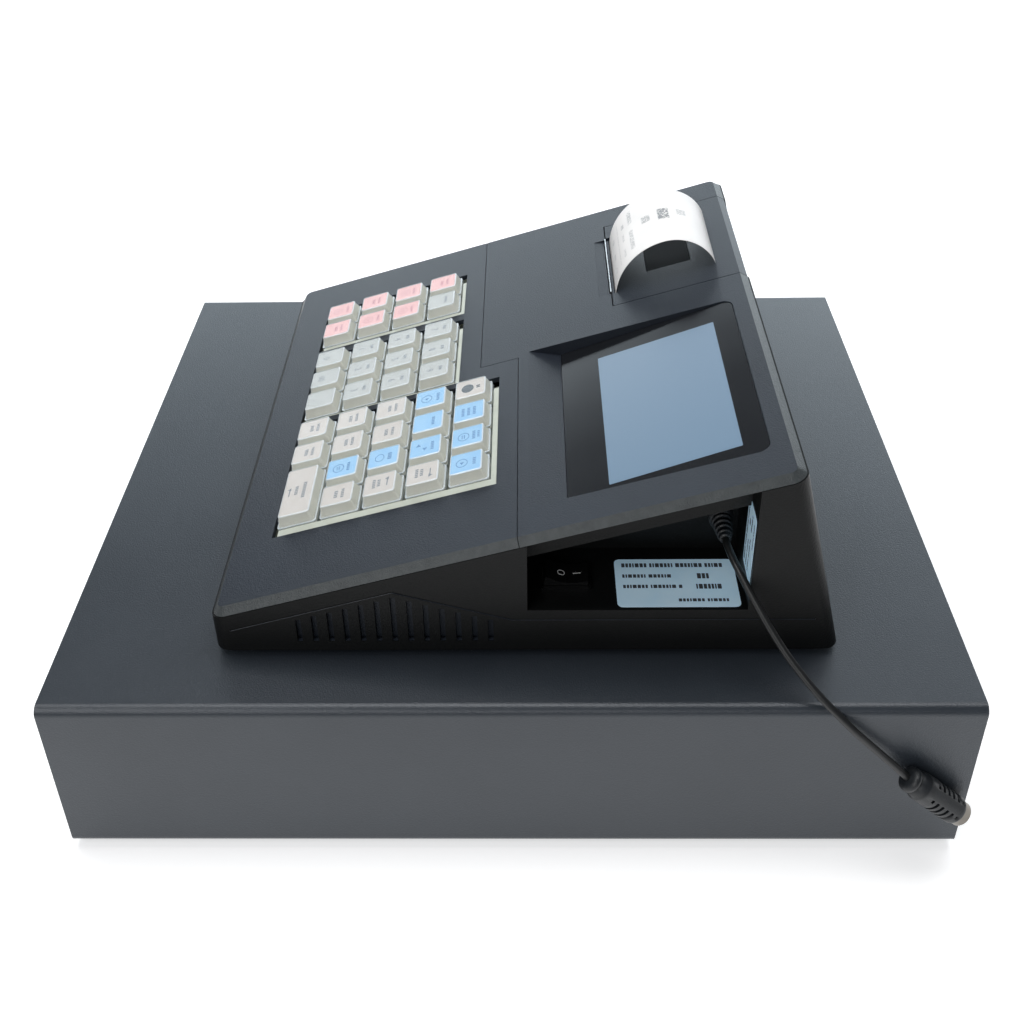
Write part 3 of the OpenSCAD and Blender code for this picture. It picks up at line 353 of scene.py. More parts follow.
def slipMaterial():
    # thermal paper: smooth and white, with grey print broken up into strokes of 0.4 mm
    material, tree = startMaterial("thermalPaperPrinted")
    uv = addNode(tree, "ShaderNodeUVMap", uv_map="slip")
    strokes = addNode(tree, "ShaderNodeVectorMath", {1: (2.6, 1.7, 0.0)}, {0: uv.outputs["UV"]},
                      operation="MULTIPLY")
    cells = addNode(tree, "ShaderNodeVectorMath", links={0: strokes.outputs["Vector"]},
                    operation="FLOOR")
    letters = addNode(tree, "ShaderNodeTexWhiteNoise", noise_dimensions="2D",
                      links={"Vector": cells.outputs["Vector"]})
    drawn = addNode(tree, "ShaderNodeMath", {1: 0.3}, {0: letters.outputs["Value"]},
                    operation="GREATER_THAN")
    printed = addNode(tree, "ShaderNodeAttribute", attribute_name="print")
    ink = addNode(tree, "ShaderNodeMath", links={0: drawn.outputs[0], 1: printed.outputs["Fac"]},
                  operation="MULTIPLY")
    paper = mottledColour(tree, "#ebe8e5", "#f2efec", 0.02)
    mix = addNode(tree, "ShaderNodeMix", {7: toLinear("#6c7074")}, {0: ink.outputs[0], 6: paper},
                  data_type="RGBA")
    return endMaterial(material, tree, {"Roughness": 0.45},
                       {"Base Color": mix.outputs[2],
                        "Normal": grainBump(tree, 0.0006, 0.05, 0.0002)})


filmLooks = {
    "ivory": ("#d6cbc0", "#ded4ca"),     # paper insert under the cover, warm white
    "grey": ("#bab9b2", "#c4c3bc"),      # cooler white
    "pink": ("#f5b3ad", "#fabfba"),
    "blue": ("#93cbf3", "#a3d4f5"),
}
inkLooks = {"grey": "#8b8d90", "dark": "#4c5054", "rose": "#d98f95", "blue": "#5590c6",
            "white": "#e8e8e6"}

finish = {name: grainedSurface(name, look) for name, look in looks.items()}
finish["blackBackedGlass"] = glassMaterial()
keyIvory = keyBodyMaterial("keyBodyIvory", "#d2cdbb", "#dcd7c7")
keyFilm = {tone: keyBodyMaterial("keyInsert" + tone.capitalize(), *pair)
           for tone, pair in filmLooks.items()}
inks = {tone: printMaterial("ink" + tone.capitalize(), colour) for tone, colour in inkLooks.items()}
clearCap = clearCapMaterial("clearAcrylic", 0.2, "#cbdfec", "#dae8f0")
# whiter and more opaque: a painted highlight on the keys' flanges and top edge bevels
clearEdgePaintedHighlight = clearCapMaterial("clearAcrylicEdgePaintedHighlight", 0.6, "#e4eff5", "#f2f8fb")
panelGlass = screenMaterial()
labelFoilPaintedGlow = foilMaterial()
slipPaper = slipMaterial()

cadFinish = {
    "drawer_cover": "powderCoatDarkGrey", "drawer_box": "powderCoatDarkGrey",
    "drawer_chassis": "zincPlatedSteel", "rubber_feet": "blackRubber",
    "cash_tray": "trayPolystyrene", "note_clips": "carrierPolycarbonate",
    "lock_cylinder": "chromePlate", "base_housing": "sparkErodedAbsBlack",
    "keyboard_cover": "sparkErodedAbsSlate", "rear_cover": "sparkErodedAbsSlate",
    "printer_lid": "sparkErodedAbsSlate", "switch_plate": "milkyPolystyrene",
    "display_module": "blackBackedGlass", "printer_mechanism": "carrierPolycarbonate",
    "platen_roller": "blackRubber", "paper_roll": "rollPaper", "port_board": "switchNylon",
    "switch_rocker": "switchNylon", "lead_plugs": "plugPvc",
}
for name, kind in cadFinish.items():
    slots = nodes[name].data.materials
    slots.clear()
    slots.append(finish[kind])
print("materials on the frame:", len(cadFinish))

# where the finish changes on a piece: opposite corners of boxes on the slope, or a roller's axis
# there and the radius of its metal or board, all in mm
finishLimits = {
    "pane": ((-82.4, 189.55, -1.65), (-48.6, 211.25, -0.25)),
    "tearBar": ((-93.8, 169.55, -9.0), (-36.6, 171.47, 0.8)),
    "block": ((-94.5, 165.0, -6.1), (-35.0, 169.55, 0.0)),
    "mouth": ((-94.5, 165.0, -6.1), (-35.0, 173.0, 0.0)),
    "platen": (177.6, -9.0, 1.6),
    "roll": (205.2, -33.0, 6.2),
}
# forms at the slot's mouth on the slope, in mm; the first of two numbers is the front's
mouthForm = {
    "barMiddle": 170.0, "barEdge": (170.95, 171.45),
    "blockMiddle": (-64.8, 167.0), "blockWider": 0.25, "blockDeeper": (-0.25, 0.6),
    "scoopFrom": -1.0, "scoop": (-0.05, -0.8),
    "guide": (56.6, 0.4, 4.3), "guideLean": 0.8, "guideAt": (-65.3, 171.7, -2.85),
}
coverRim = {"wide": 3.2, "steepest": 0.3, "flattest": 0.95}     # mm, and how far its faces look up


def insideBox(point, box):
    return all(low <= value <= high for low, value, high in zip(box[0], point, box[1]))


def aroundAxis(point, axis):
    return math.hypot(point[1] - axis[0], point[2] - axis[1]) < axis[2]


def dressCovers(names):
    # copies of the covers whose rims, the faces near the covers' common outline on the slope that
    # lean outwards, take the lighter tone of a painted highlight
    turn = offSlope.to_3x3().normalized()
    wide = coverRim["wide"]
    points = [offSlope @ (vert.co * 1000) for name in names for vert in nodes[name].data.vertices]
    limits = [(min(p[i] for p in points) + wide, max(p[i] for p in points) - wide) for i in (0, 1)]
    for name in names:
        mesh = nodes[name].data.copy()
        mesh.name = name + "Dressed"
        mesh.materials.clear()
        for kind in ("sparkErodedAbsSlate", "absSlateRimPaintedHighlight"):
            mesh.materials.append(finish[kind])
        for face in mesh.polygons:
            point = offSlope @ (face.center * 1000)
            outside = any(not low < point[i] < high for i, (low, high) in enumerate(limits))
            leans = coverRim["steepest"] < (turn @ face.normal).z < coverRim["flattest"]
            # rim faces take the painted highlight tone
            face.material_index = int(outside and leans)
        piece = bpy.data.objects.new(mesh.name, mesh)
        bpy.context.scene.collection.objects.link(piece)
        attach(piece, "case")
        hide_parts(name)


def lidFinish(point):
    return int(insideBox(offSlope @ point, finishLimits["pane"]))


def mechanismFinish(point):
    point = offSlope @ point
    if insideBox(point, finishLimits["tearBar"]):
        return 1
    return 2 if insideBox(point, finishLimits["mouth"]) else 0


def platenFinish(point):
    return int(aroundAxis(offSlope @ point, finishLimits["platen"]))


def rollFinish(point):
    return int(aroundAxis(offSlope @ point, finishLimits["roll"]))


def shapeMouth(bm):
    # the bar leans to the slip and is ground to its edge; the block in front is scooped and fills
    # its opening, and a thin strip guides the slip
    m = mouthForm
    back = offSlope.inverted()
    for vert in bm.verts:
        point = offSlope @ (vert.co * 1000)
        if insideBox(point, finishLimits["tearBar"]):
            if point.z > 0:
                point.y = m["barEdge"][int(point.y >= m["barMiddle"])]
        elif insideBox(point, finishLimits["block"]):
            middleX, middleY = m["blockMiddle"]
            end = int(point.y >= middleY)
            point.x += math.copysign(m["blockWider"], point.x - middleX)
            point.y += m["blockDeeper"][end]
            if point.z > m["scoopFrom"]:
                point.z = m["scoop"][end]
        else:
            continue
        vert.co = (back @ point) / 1000
    guide = addBox(bm, m["guide"], (0, 0, 0))
    for vert in guide:
        if vert.co.y > 0 and vert.co.z > 0:
            vert.co.y += m["guideLean"]
    bmesh.ops.transform(bm, verts=guide, matrix=slopePlace @ Matrix.Translation(m["guideAt"]))


# plug on the free end: distance along it and radius, in mm, with grooves for the fingers turned
# about two middles of its round, in degrees
endPlug = {
    "start": (171.3, 155.8, 51.0), "tilt": 41.4, "sleeveFrom": 29.03, "beyond": 155, "segments": 72,
    "neck": [(0, 0), (0, 3.2), (0.3, 4.3), (0.9, 4.95), (1.7, 5.2), (2.6, 5.2), (2.75, 4.85),
             (3.35, 4.85), (3.5, 5.2), (6.2, 5.22), (7.2, 5.95), (8, 6)],
    "sleeve": [(28.2, 6), (28.8, 5.75), (29, 5.3), (29, 5.1), (32.6, 5.1), (32.8, 4.95),
               (32.8, 4.4), (30, 4.4), (30, 0)],
    "grooves": [11.6 + 2.9 * i for i in range(6)], "grooveRadius": 6, "wide": 1.3, "deep": 1.2,
    "draft": 0.12, "middles": (50, 232), "reach": 64, "dots": 48,
}


def plugFinish(point):
    tilt = math.radians(endPlug["tilt"])
    axis = Vector((0, math.cos(tilt), -math.sin(tilt)))
    return int((Vector(point) - Vector(endPlug["start"])).dot(axis) > endPlug["sleeveFrom"])


def remakeEndPlug(bm):
    # the free end's plug as a turned body, in place of all beyond its x, with grooves on two
    # sides; of the first and the last groove only the ends are cut, as dots
    e = endPlug
    old = [v for v in bm.verts if v.co.x * 1000 > e["beyond"]]
    bmesh.ops.delete(bm, geom=old, context="VERTS")
    walls = [(start + wide, e["grooveRadius"]) for start in e["grooves"] for wide in (0, e["wide"])]
    plug = bmesh.new()
    addLathe(plug, e["neck"] + walls + e["sleeve"], e["segments"])
    for start in e["grooves"]:
        inner = e["dots"] if start in (e["grooves"][0], e["grooves"][-1]) else 0
        for middle in e["middles"]:
            pocket = []
            for face in plug.faces:
                point = face.calc_center_median()
                turn = (math.degrees(math.atan2(point.y, point.x)) - middle + 180) % 360 - 180
                if start < point.z < start + e["wide"] and inner < abs(turn) < e["reach"]:
                    pocket.append(face)
            bmesh.ops.inset_region(plug, faces=pocket, thickness=e["draft"], depth=-e["deep"],
                                   use_even_offset=True)
    plug.transform(metres @ Matrix.Translation(e["start"])
                   @ Matrix.Rotation(math.radians(-90 - e["tilt"]), 4, "X"))
    joinInto(bm, plug)


dressCovers(("keyboard_cover", "rear_cover"))
dressNode("printer_lid", "lid", [finish["sparkErodedAbsSlate"], finish["smokedAcrylicPane"]],
          lidFinish, (1,))
dressNode("printer_mechanism", "case",
          [finish["carrierPolycarbonate"], finish["brushedSteel"], finish["sparkErodedAbsSlate"]],
          mechanismFinish, (1, 2), shapeMouth)
dressNode("platen_roller", "platen", [finish["blackRubber"], finish["brushedSteel"]],
          platenFinish)
dressNode("paper_roll", "roll", [finish["rollPaper"], finish["greyBoardCore"]],
          rollFinish)
dressNode("lead_plugs", "case", [finish["plugPvc"], finish["dullNickel"]],
          plugFinish, (), remakeEndPlug)
print("pieces with several finishes dressed")


view = {
    "place": (0.5119, 0.0090, 0.4499), "yaw": 0.026, "pitch": 0.601, "roll": -0.021,  # m, radians
    "lens": 45.28, "shift": (0.0101, -0.0791),
}


def addCamera():
    data = bpy.data.cameras.new("studioCamera")
    data.lens = view["lens"]
    data.shift_x, data.shift_y = view["shift"]
    data.clip_start, data.clip_end = 0.01, 20
    camera = bpy.data.objects.new("studioCamera", data)
    bpy.context.scene.collection.objects.link(camera)
    forward = Vector((-math.cos(view["pitch"]) * math.cos(view["yaw"]),
                      -math.cos(view["pitch"]) * math.sin(view["yaw"]), -math.sin(view["pitch"])))
    right = forward.cross(Vector((0, 0, 1))).normalized()
    up = right.cross(forward)
    turn = view["roll"]
    rolledRight = right * math.cos(turn) + up * math.sin(turn)
    rolledUp = up * math.cos(turn) - right * math.sin(turn)
    camera.matrix_world = Matrix.Translation(view["place"]) @ Matrix(
        (rolledRight, rolledUp, -forward)).transposed().to_4x4()
    bpy.context.scene.camera = camera


def addAreaLight(name, place, target, size, power, tint):
    data = bpy.data.lights.new(name, "AREA")
    data.shape = "RECTANGLE"
    data.size, data.size_y = size
    data.energy = power
    data.color = tint
    light = bpy.data.objects.new(name, data)
    light.location = place
    light.rotation_euler = (Vector(target) - Vector(place)).to_track_quat("-Z", "Y").to_euler()
    bpy.context.scene.collection.objects.link(light)


studio = {
    # floorShade and the fall of floorGlow are painted shade on the floor to the object's right
    "floorTone": "#f4f4f4", "floorShade": "#b4b4b4", "floorGlow": (0.49, 0.15),
    "floorFade": (0.265, 0.6),  # x where the shade starts and is full
    "floorSize": 6.0, "floorDrop": 0.0002,
    "skyTone": "#f0f4ff", "skyPower": 0.14,
    "lights": {  # place, target, size in metres, watts, tint
        "farSoftbox": ((-1.9, 0.1, 0.55), (0, 0, 0.12), (2.8, 1.0), 23, (0.82, 0.93, 1.0)),
        "farRearSoftbox": ((-1.5, 0.9, 1.2), (0.05, 0.1, 0.1), (1.2, 0.7), 3, (0.86, 0.95, 1.0)),
        "overheadSoftbox": ((-0.15, 0, 1.55), (0.05, 0, 0.05), (1.8, 0.8), 18, (1, 1, 1)),
        "sideSoftbox": ((1.8, -0.35, 0.95), (0.1, 0.03, 0.12), (1.4, 0.5), 7, (1, 1, 1)),
        "nearSoftbox": ((0.95, -0.8, 1.2), (0.05, 0, 0.1), (0.7, 0.7), 6, (1, 1, 1)),
    }}


def floorMaterial():
    # white paper with a faint glow, which runs into painted shade on the object's right, where its
    # tone and glow fall off
    material, tree = startMaterial("paperSweep")
    coords = addNode(tree, "ShaderNodeTexCoord")
    across = addNode(tree, "ShaderNodeSeparateXYZ", links={"Vector": coords.outputs["Object"]})
    fade = addNode(tree, "ShaderNodeMapRange",
                   {"From Min": studio["floorFade"][0], "From Max": studio["floorFade"][1]},
                   {"Value": across.outputs["X"]}, interpolation_type="SMOOTHSTEP")
    tone = addNode(tree, "ShaderNodeMix",
                   {6: toLinear(studio["floorTone"]), 7: toLinear(studio["floorShade"])},
                   {0: fade.outputs["Result"]}, data_type="RGBA")
    glow = addNode(tree, "ShaderNodeMapRange",
                   {"To Min": studio["floorGlow"][0], "To Max": studio["floorGlow"][1]},
                   {"Value": fade.outputs["Result"]})
    return endMaterial(material, tree, {"Roughness": 0.9, "Emission Color": toLinear("#ffffff")},
                       {"Base Color": tone.outputs[2], "Emission Strength": glow.outputs["Result"]})


def addStudio():
    bm = bmesh.new()
    bmesh.ops.create_grid(bm, x_segments=1, y_segments=1, size=studio["floorSize"])
    bmesh.ops.translate(bm, vec=(0, 0, -studio["floorDrop"]), verts=bm.verts)
    mesh = bpy.data.meshes.new("studioFloor")
    bm.to_mesh(mesh)
    bm.free()
    mesh.materials.append(floorMaterial())
    floor = bpy.data.objects.new("studioFloor", mesh)
    bpy.context.scene.collection.objects.link(floor)
    world = bpy.data.worlds.new("studioSky")
    bpy.context.scene.world = world
    world.use_nodes = True
    background = world.node_tree.nodes["Background"]
    background.inputs["Color"].default_value = toLinear(studio["skyTone"])
    background.inputs["Strength"].default_value = studio["skyPower"]
    for name, (place, target, size, power, tint) in studio["lights"].items():
        addAreaLight(name, place, target, size, power, tint)


addCamera()
addStudio()
print("camera and studio ready")


lead = {
    "diameter": 0.003,
    "route": [  # mm, from the plug in the bay to the free end's plug
        (119, 85.5, 128.5), (122, 85.7, 128.3), (124.9, 86.4, 127.4), (127.7, 87.3, 126.2),
        (130.8, 88.6, 124.6), (134, 90.4, 122.1), (137.4, 92.8, 118.4), (141.1, 95.8, 113.9),
        (145, 99.3, 108.8), (149, 103.3, 103.4), (153, 107.5, 98.2), (157, 112.1, 93.4),
        (160.9, 116.8, 88.9), (164.2, 121.7, 84.5), (166.5, 126.8, 79.8), (168, 132.2, 74.3),
        (168.8, 138.1, 68.4), (169.4, 144, 62.5), (170.3, 150, 56.8), (171.3, 155.8, 51)],
}


def addLead():
    route = [Vector(place) / 1000 for place in lead["route"]]
    curve = bpy.data.curves.new("leadLine", "CURVE")
    curve.dimensions = "3D"
    curve.bevel_depth = lead["diameter"] / 2
    curve.bevel_resolution = 6
    curve.resolution_u = 8
    curve.use_fill_caps = True
    spline = curve.splines.new("BEZIER")
    spline.bezier_points.add(len(route) - 1)
    for point, place in zip(spline.bezier_points, route):
        point.co = place
        point.handle_left_type = point.handle_right_type = "AUTO"
    curve.materials.append(finish["leadPvc"])
    piece = bpy.data.objects.new("leadLine", curve)
    bpy.context.scene.collection.objects.link(piece)
    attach(piece, "case")
    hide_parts("lead_cord")


addLead()
print("lead laid")


keyShape = {
    "pitch": 19.05, "base": 17.8, "top": 14.0, "foot": -2.2, "rise": 4.5,  # mm, off the slope
    "firstUp": 27.3, "firstAcross": (-87.4, -39.5, 23.5),
    "cover": 0.35,      # thickness of the clear cover at its sides
    "coverTop": 0.4,    # and over the insert
    "flange": 17.5, "flangeAt": (-0.7, -0.2),
    "corner": 1.2, "edge": 0.5, "edgeInset": 0.12,
    "bodyLift": 0.3,    # of the body's foot over the cover's
    "stem": 6.0, "stemFoot": -12.0,
    "ink": 0.04, "figure": 5.0, "figureUp": -2.2,
    "stroke": 0.82, "strokePitch": 1.25, "ringWidth": 0.4,
}
# what is printed on each key, by bank, row (far to near) and column (front to rear), and below it
# the insert's tone: pink, grey, ivory or blue
keyPrint = [
    [["ring", "words", "box", "words"], ["words", "ring", "box", "word"]],
    [["0", "1", "4", "7"], ["00", "2", "5", "8"], [".", "3", "6", "9"]],
    [["words", "words", "words", "ring", "disc"], ["words", "words", "words", "word", "columns"],
     ["enter", "box", "diamond", "arrows", "boxWords"], [None, "words", "down", "up", "ringWords"]],
]
keyTone = (("pppp", "pppg"), ("gggg", "gggg", "gggg"), ("iiibi", "iiibb", "ibbbb", "iiiib"))
toneNames = {"p": "pink", "g": "grey", "i": "ivory", "b": "blue"}
# marks that make up each sign, in mm across and up from the key's middle: rows of strokes with
# their number and height; bars with length and width; rings, discs and wedges with radius and
# stretch, and a wedge's turn in degrees
keySigns = {
    "word": (("row", 0, 2.4, 5, 1.35),),
    "words": (("row", 0, 2.4, 5, 1.35), ("row", 0, -0.6, 4, 1.6)),
    "columns": (("row", 0, -2.8, 5, 1.35), ("row", 0, -0.2, 5, 1.35), ("row", 0, 2.4, 5, 1.35)),
    "down": (("row", -0.6, -2.6, 5, 1.35), ("row", -0.6, -0.4, 4, 1.35), ("bar", 0, 3.4, 4.6, 0.5),
             ("wedge", -2.6, 3.4, 1.3, 0.9, 180)),
    "up": (("row", -0.6, -2.6, 5, 1.35), ("row", -0.6, -0.4, 4, 1.35), ("bar", 0, 3.4, 4.6, 0.5),
           ("wedge", 2.6, 3.4, 1.3, 0.9, 0)),
    "enter": (("row", 0, 2.6, 9, 1.6), ("row", -0.6, -1.0, 5, 1.5), ("bar", 0.4, -4.2, 4.6, 0.5),
              ("wedge", -2.2, -4.2, 1.2, 0.9, 180)),
    "ring": (("ring", 0, -1.8, 2.9, 0.9), ("wedge", 0, -1.8, 1.1, 1.0, 30),
             ("row", 0, 3.6, 5, 1.35)),
    "ringWords": (("ring", 0, -1.8, 2.9, 0.9), ("wedge", 0, -1.8, 1.1, 1.0, 30),
                  ("row", 0, 3.6, 4, 1.35)),
    "disc": (("disc", 0, -1.4, 3.2, 0.9), ("row", 0, 3.6, 2, 1.8)),
    "box": (("ring", 0, -1.8, 2.9, 0.9), ("bar", 0, -1.4, 2.6, 0.45), ("bar", 0, -2.4, 2.6, 0.45),
            ("row", 0, 2.8, 5, 1.35)),
    "boxWords": (("ring", 0, -1.8, 2.9, 0.9), ("bar", 0, -1.4, 2.6, 0.45),
                 ("bar", 0, -2.4, 2.6, 0.45), ("row", 0, 2.8, 5, 1.35), ("row", 0, 4.9, 4, 1.0)),
    "diamond": (("ring", 0, -1.8, 2.7, 0.8), ("row", 0, 2.8, 4, 1.8)),
    "arrows": (("wedge", -1.6, -3.2, 1.4, 0.9, 210), ("wedge", 1.4, -0.2, 1.4, 0.9, 30),
               ("row", 0, 3.2, 5, 1.35)),
    "figure": (("row", 0, 3.2, 3, 1.6),),
}
figureMeshes = {}


def figureMesh(text):
    # raised print of plain figures, as a thin closed mesh
    if text not in figureMeshes:
        curve = bpy.data.curves.new("figure", "FONT")
        curve.body = text
        curve.size = keyShape["figure"]
        curve.align_x = "CENTER"
        curve.align_y = "CENTER"
        curve.extrude = keyShape["ink"] / 2
        curve.resolution_u = 3
        holder = bpy.data.objects.new("figure", curve)
        bpy.context.scene.collection.objects.link(holder)
        bpy.context.view_layer.update()
        figureMeshes[text] = bpy.data.meshes.new_from_object(holder)
        bpy.data.objects.remove(holder)
    return figureMeshes[text]


def stampMesh(bm, mesh, place, material):
    verts, faces = len(bm.verts), len(bm.faces)
    bm.from_mesh(mesh)
    bm.verts.ensure_lookup_table()
    bm.faces.ensure_lookup_table()
    bmesh.ops.transform(bm, matrix=place, verts=bm.verts[verts:])
    for face in bm.faces[faces:]:
        face.material_index = material


def addRing(bm, centre, radius, width, height, material, stretch):
    # a flat ring: a round of quads between two circles, thickened
    inner = bmesh.ops.create_circle(bm, segments=20, radius=radius - width)["verts"]
    edges = list({e for v in inner for e in v.link_edges})
    made = bmesh.ops.extrude_edge_only(bm, edges=edges)["geom"]
    outer = [g for g in made if isinstance(g, bmesh.types.BMVert)]
    wider = radius / (radius - width)
    bmesh.ops.scale(bm, vec=(wider, wider, 1), verts=outer)
    faces = [g for g in made if isinstance(g, bmesh.types.BMFace)]
    thick = bmesh.ops.extrude_face_region(bm, geom=faces)["geom"]
    tops = [g for g in thick if isinstance(g, bmesh.types.BMVert)]
    bmesh.ops.translate(bm, vec=(0, 0, height), verts=tops)
    ring = list(set(inner) | set(outer) | set(tops))
    bmesh.ops.scale(bm, vec=(1, stretch, 1), verts=ring)
    bmesh.ops.translate(bm, vec=centre, verts=ring)
    bmesh.ops.recalc_face_normals(bm, faces=paintFaces(ring, material))


def addDisc(bm, centre, radius, height, material, segments=24, stretch=1.0, turn=0.0):
    made = bmesh.ops.create_cone(bm, cap_ends=True, segments=segments, radius1=radius,
                                 radius2=radius, depth=height)["verts"]
    bmesh.ops.rotate(bm, verts=made, matrix=Matrix.Rotation(math.radians(turn), 3, "Z"))
    bmesh.ops.scale(bm, vec=(1, stretch, 1), verts=made)
    bmesh.ops.translate(bm, vec=centre, verts=made)
    paintFaces(made, material)


def addKeyPrint(bm, sign, top, ink):
    # a sign in ink on the insert: a figure on the number keys, plain marks elsewhere
    s = keyShape
    thin, z = s["ink"], top + s["ink"] / 2
    marks = keySigns.get(sign)
    if marks is None:
        stampMesh(bm, figureMesh(sign), Matrix.Translation((0, s["figureUp"], z)), ink)
        marks = () if sign in ("0", "00", ".") else keySigns["figure"]
    for kind, x, y, *sizes in marks:
        if kind == "row":
            strokes, height = sizes
            for i in range(strokes):
                across = x + (i - (strokes - 1) / 2) * s["strokePitch"]
                addBox(bm, (s["stroke"], height, thin), (across, y, z), ink)
        elif kind == "bar":
            addBox(bm, (*sizes, thin), (x, y, z), ink)
        elif kind == "ring":
            addRing(bm, (x, y, top), sizes[0], s["ringWidth"], thin, ink, sizes[1])
        else:
            addDisc(bm, (x, y, z), sizes[0], thin, ink, 3 if kind == "wedge" else 24, *sizes[1:])


def taperedBlock(bm, foot, top, low, high, corner, material, rim=None):
    # a block that narrows to its top, with round upright corners; rim is its top edge's radius
    # and material
    made = addBox(bm, (*foot, high - low), (0, 0, (low + high) / 2), material)
    tops = [v for v in made if v.co.z > (low + high) / 2]
    bmesh.ops.scale(bm, vec=(top[0] / foot[0], top[1] / foot[1], 1), verts=tops)
    bevelEdges(bm, uprightEdges(made, high - low), corner, 4)
    if rim:
        sharp = [e for e in bm.edges if all(abs(v.co.z - high) < 1e-4 for v in e.verts)
                 and any(f.normal.z < 0.9 for f in e.link_faces)]
        for face in bevelEdges(bm, sharp, rim[0], 3)["faces"]:
            face.material_index = rim[1]
        flat = [f for f in bm.faces if abs(f.calc_center_median().z - high) < 1e-4]
        bmesh.ops.inset_individual(bm, faces=flat, thickness=keyShape["edgeInset"])


def addKey(bank, row, column, sign, tone):
    s = keyShape
    extra = s["pitch"] if sign == "enter" else 0
    across = s["firstAcross"][bank] + row * s["pitch"] + extra / 2
    up = s["firstUp"] + column * s["pitch"]
    bm = bmesh.new()
    # clear cover with its flange; the top edge's bevel and the flange take the whiter edge acrylic,
    # a painted highlight
    taperedBlock(bm, (s["base"] + extra, s["base"]), (s["top"] + extra, s["top"]), s["foot"],
                 s["rise"], s["corner"], 0, (s["edge"], 4))
    low, high = s["flangeAt"]
    addPlate(bm, s["flange"] + extra, s["flange"], high - low, (0, 0, (low + high) / 2),
             s["corner"], 4, 3)
    # body inside it, with the insert on its top
    taper = (s["base"] - s["top"]) / (s["rise"] - s["foot"])
    base = s["base"] - 2 * s["cover"]
    narrow = s["top"] + taper * s["coverTop"] - 2 * s["cover"]
    foot, top = s["foot"] + s["bodyLift"], s["rise"] - s["coverTop"]
    inner = bmesh.new()
    taperedBlock(inner, (base + extra, base), (narrow + extra, narrow), foot, top,
                 s["corner"] - s["cover"], 1)
    for face in inner.faces:
        if face.normal.z > 0.9:
            face.material_index = 2
    joinInto(bm, inner)
    addKeyPrint(bm, sign, top, 3)
    addDisc(bm, (0, 0, (foot + s["stemFoot"]) / 2), s["stem"] / 2, foot - s["stemFoot"], 1, 20)
    ink = {"pink": "rose", "blue": "blue"}.get(tone, "dark" if sign == "disc" else "grey")
    place = f"bank{bank + 1}_row{row + 1}_col{column + 1}"
    piece = newPiece("cap_" + place, bm, slopePlace @ Matrix.Translation((across, up, 0)),
                     "key_" + place + "_body",
                     [clearCap, keyIvory, keyFilm[tone], inks[ink], clearEdgePaintedHighlight], 40)
    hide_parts("key_" + place)


for bank, rows in enumerate(keyPrint):
    for row, signs in enumerate(rows):
        for column, sign in enumerate(signs):
            if sign:
                addKey(bank, row, column, sign, toneNames[keyTone[bank][row][column]])
print("keys made")


display = {"width": 95.04, "depth": 53.86, "centreAcross": 59.9, "centreUp": 187.8,
           "glassRear": 224.5, "glassDrop": 5.4, "glassDepth": 81.0, "glassOff": -0.2,
           "lift": 0.04, "thickness": 0.03, "corner": 0.4}


def addScreen():
    d = display
    tilt = math.atan(d["glassDrop"] / d["glassDepth"])
    down = (d["glassRear"] - d["centreUp"]) / math.cos(tilt)
    place = (slopePlace @ Matrix.Translation((0, d["glassRear"], d["glassOff"]))
             @ Matrix.Rotation(tilt, 4, "X") @ Matrix.Translation((d["centreAcross"], -down, 0)))
    bm = bmesh.new()
    addPlate(bm, d["width"], d["depth"], d["thickness"], (0, 0, d["lift"]), d["corner"], 0, 2)
    newPiece("displayPanel", bm, place, "case", [panelGlass], 30)


addScreen()
print("display made")


slip = {
    "width": 57.0, "thickness": 0.12, "centreAcross": -65.5, "tooth": 1.5, "toothDepth": 0.7,
    "rows": 142,
    # its curl on the slope: centre, radius, and where it starts and ends in degrees
    "arcs": ((201.5, -11.0, 30.0, 167.5, 90.0), (201.5, -2.2, 21.2, 90.0, 8.5)),
    # print: middle across, middle along, width, height in mm, strength
    "print": ((27.0, 42.7, 11.0, 5.6, 0.85), (27.0, 33.8, 7.5, 4.4, 0.6),
              (26.0, 51.7, 6.5, 4.6, 0.4), (14.0, 25.0, 13.0, 2.2, 0.5),
              (38.0, 25.0, 20.0, 2.2, 0.45), (16.0, 19.5, 5.0, 2.0, 0.45),
              (28.0, 19.5, 7.0, 1.6, 0.3), (44.0, 19.5, 8.0, 1.6, 0.3),
              (28.0, 15.0, 42.0, 1.0, 0.2), (16.0, 10.0, 4.0, 2.0, 0.35),
              (32.0, 10.0, 6.0, 1.6, 0.3), (46.0, 10.0, 5.0, 1.6, 0.3)),
}


def slipPoint(distance):
    # the slip's middle line: along the first arc, then along the second
    for up, off, radius, start, end in slip["arcs"]:
        length = math.radians(start - end) * radius
        if distance <= length or (up, off, radius, start, end) == slip["arcs"][-1]:
            angle = math.radians(start) - distance / radius
            return up + radius * math.cos(angle), off + radius * math.sin(angle)
        distance -= length


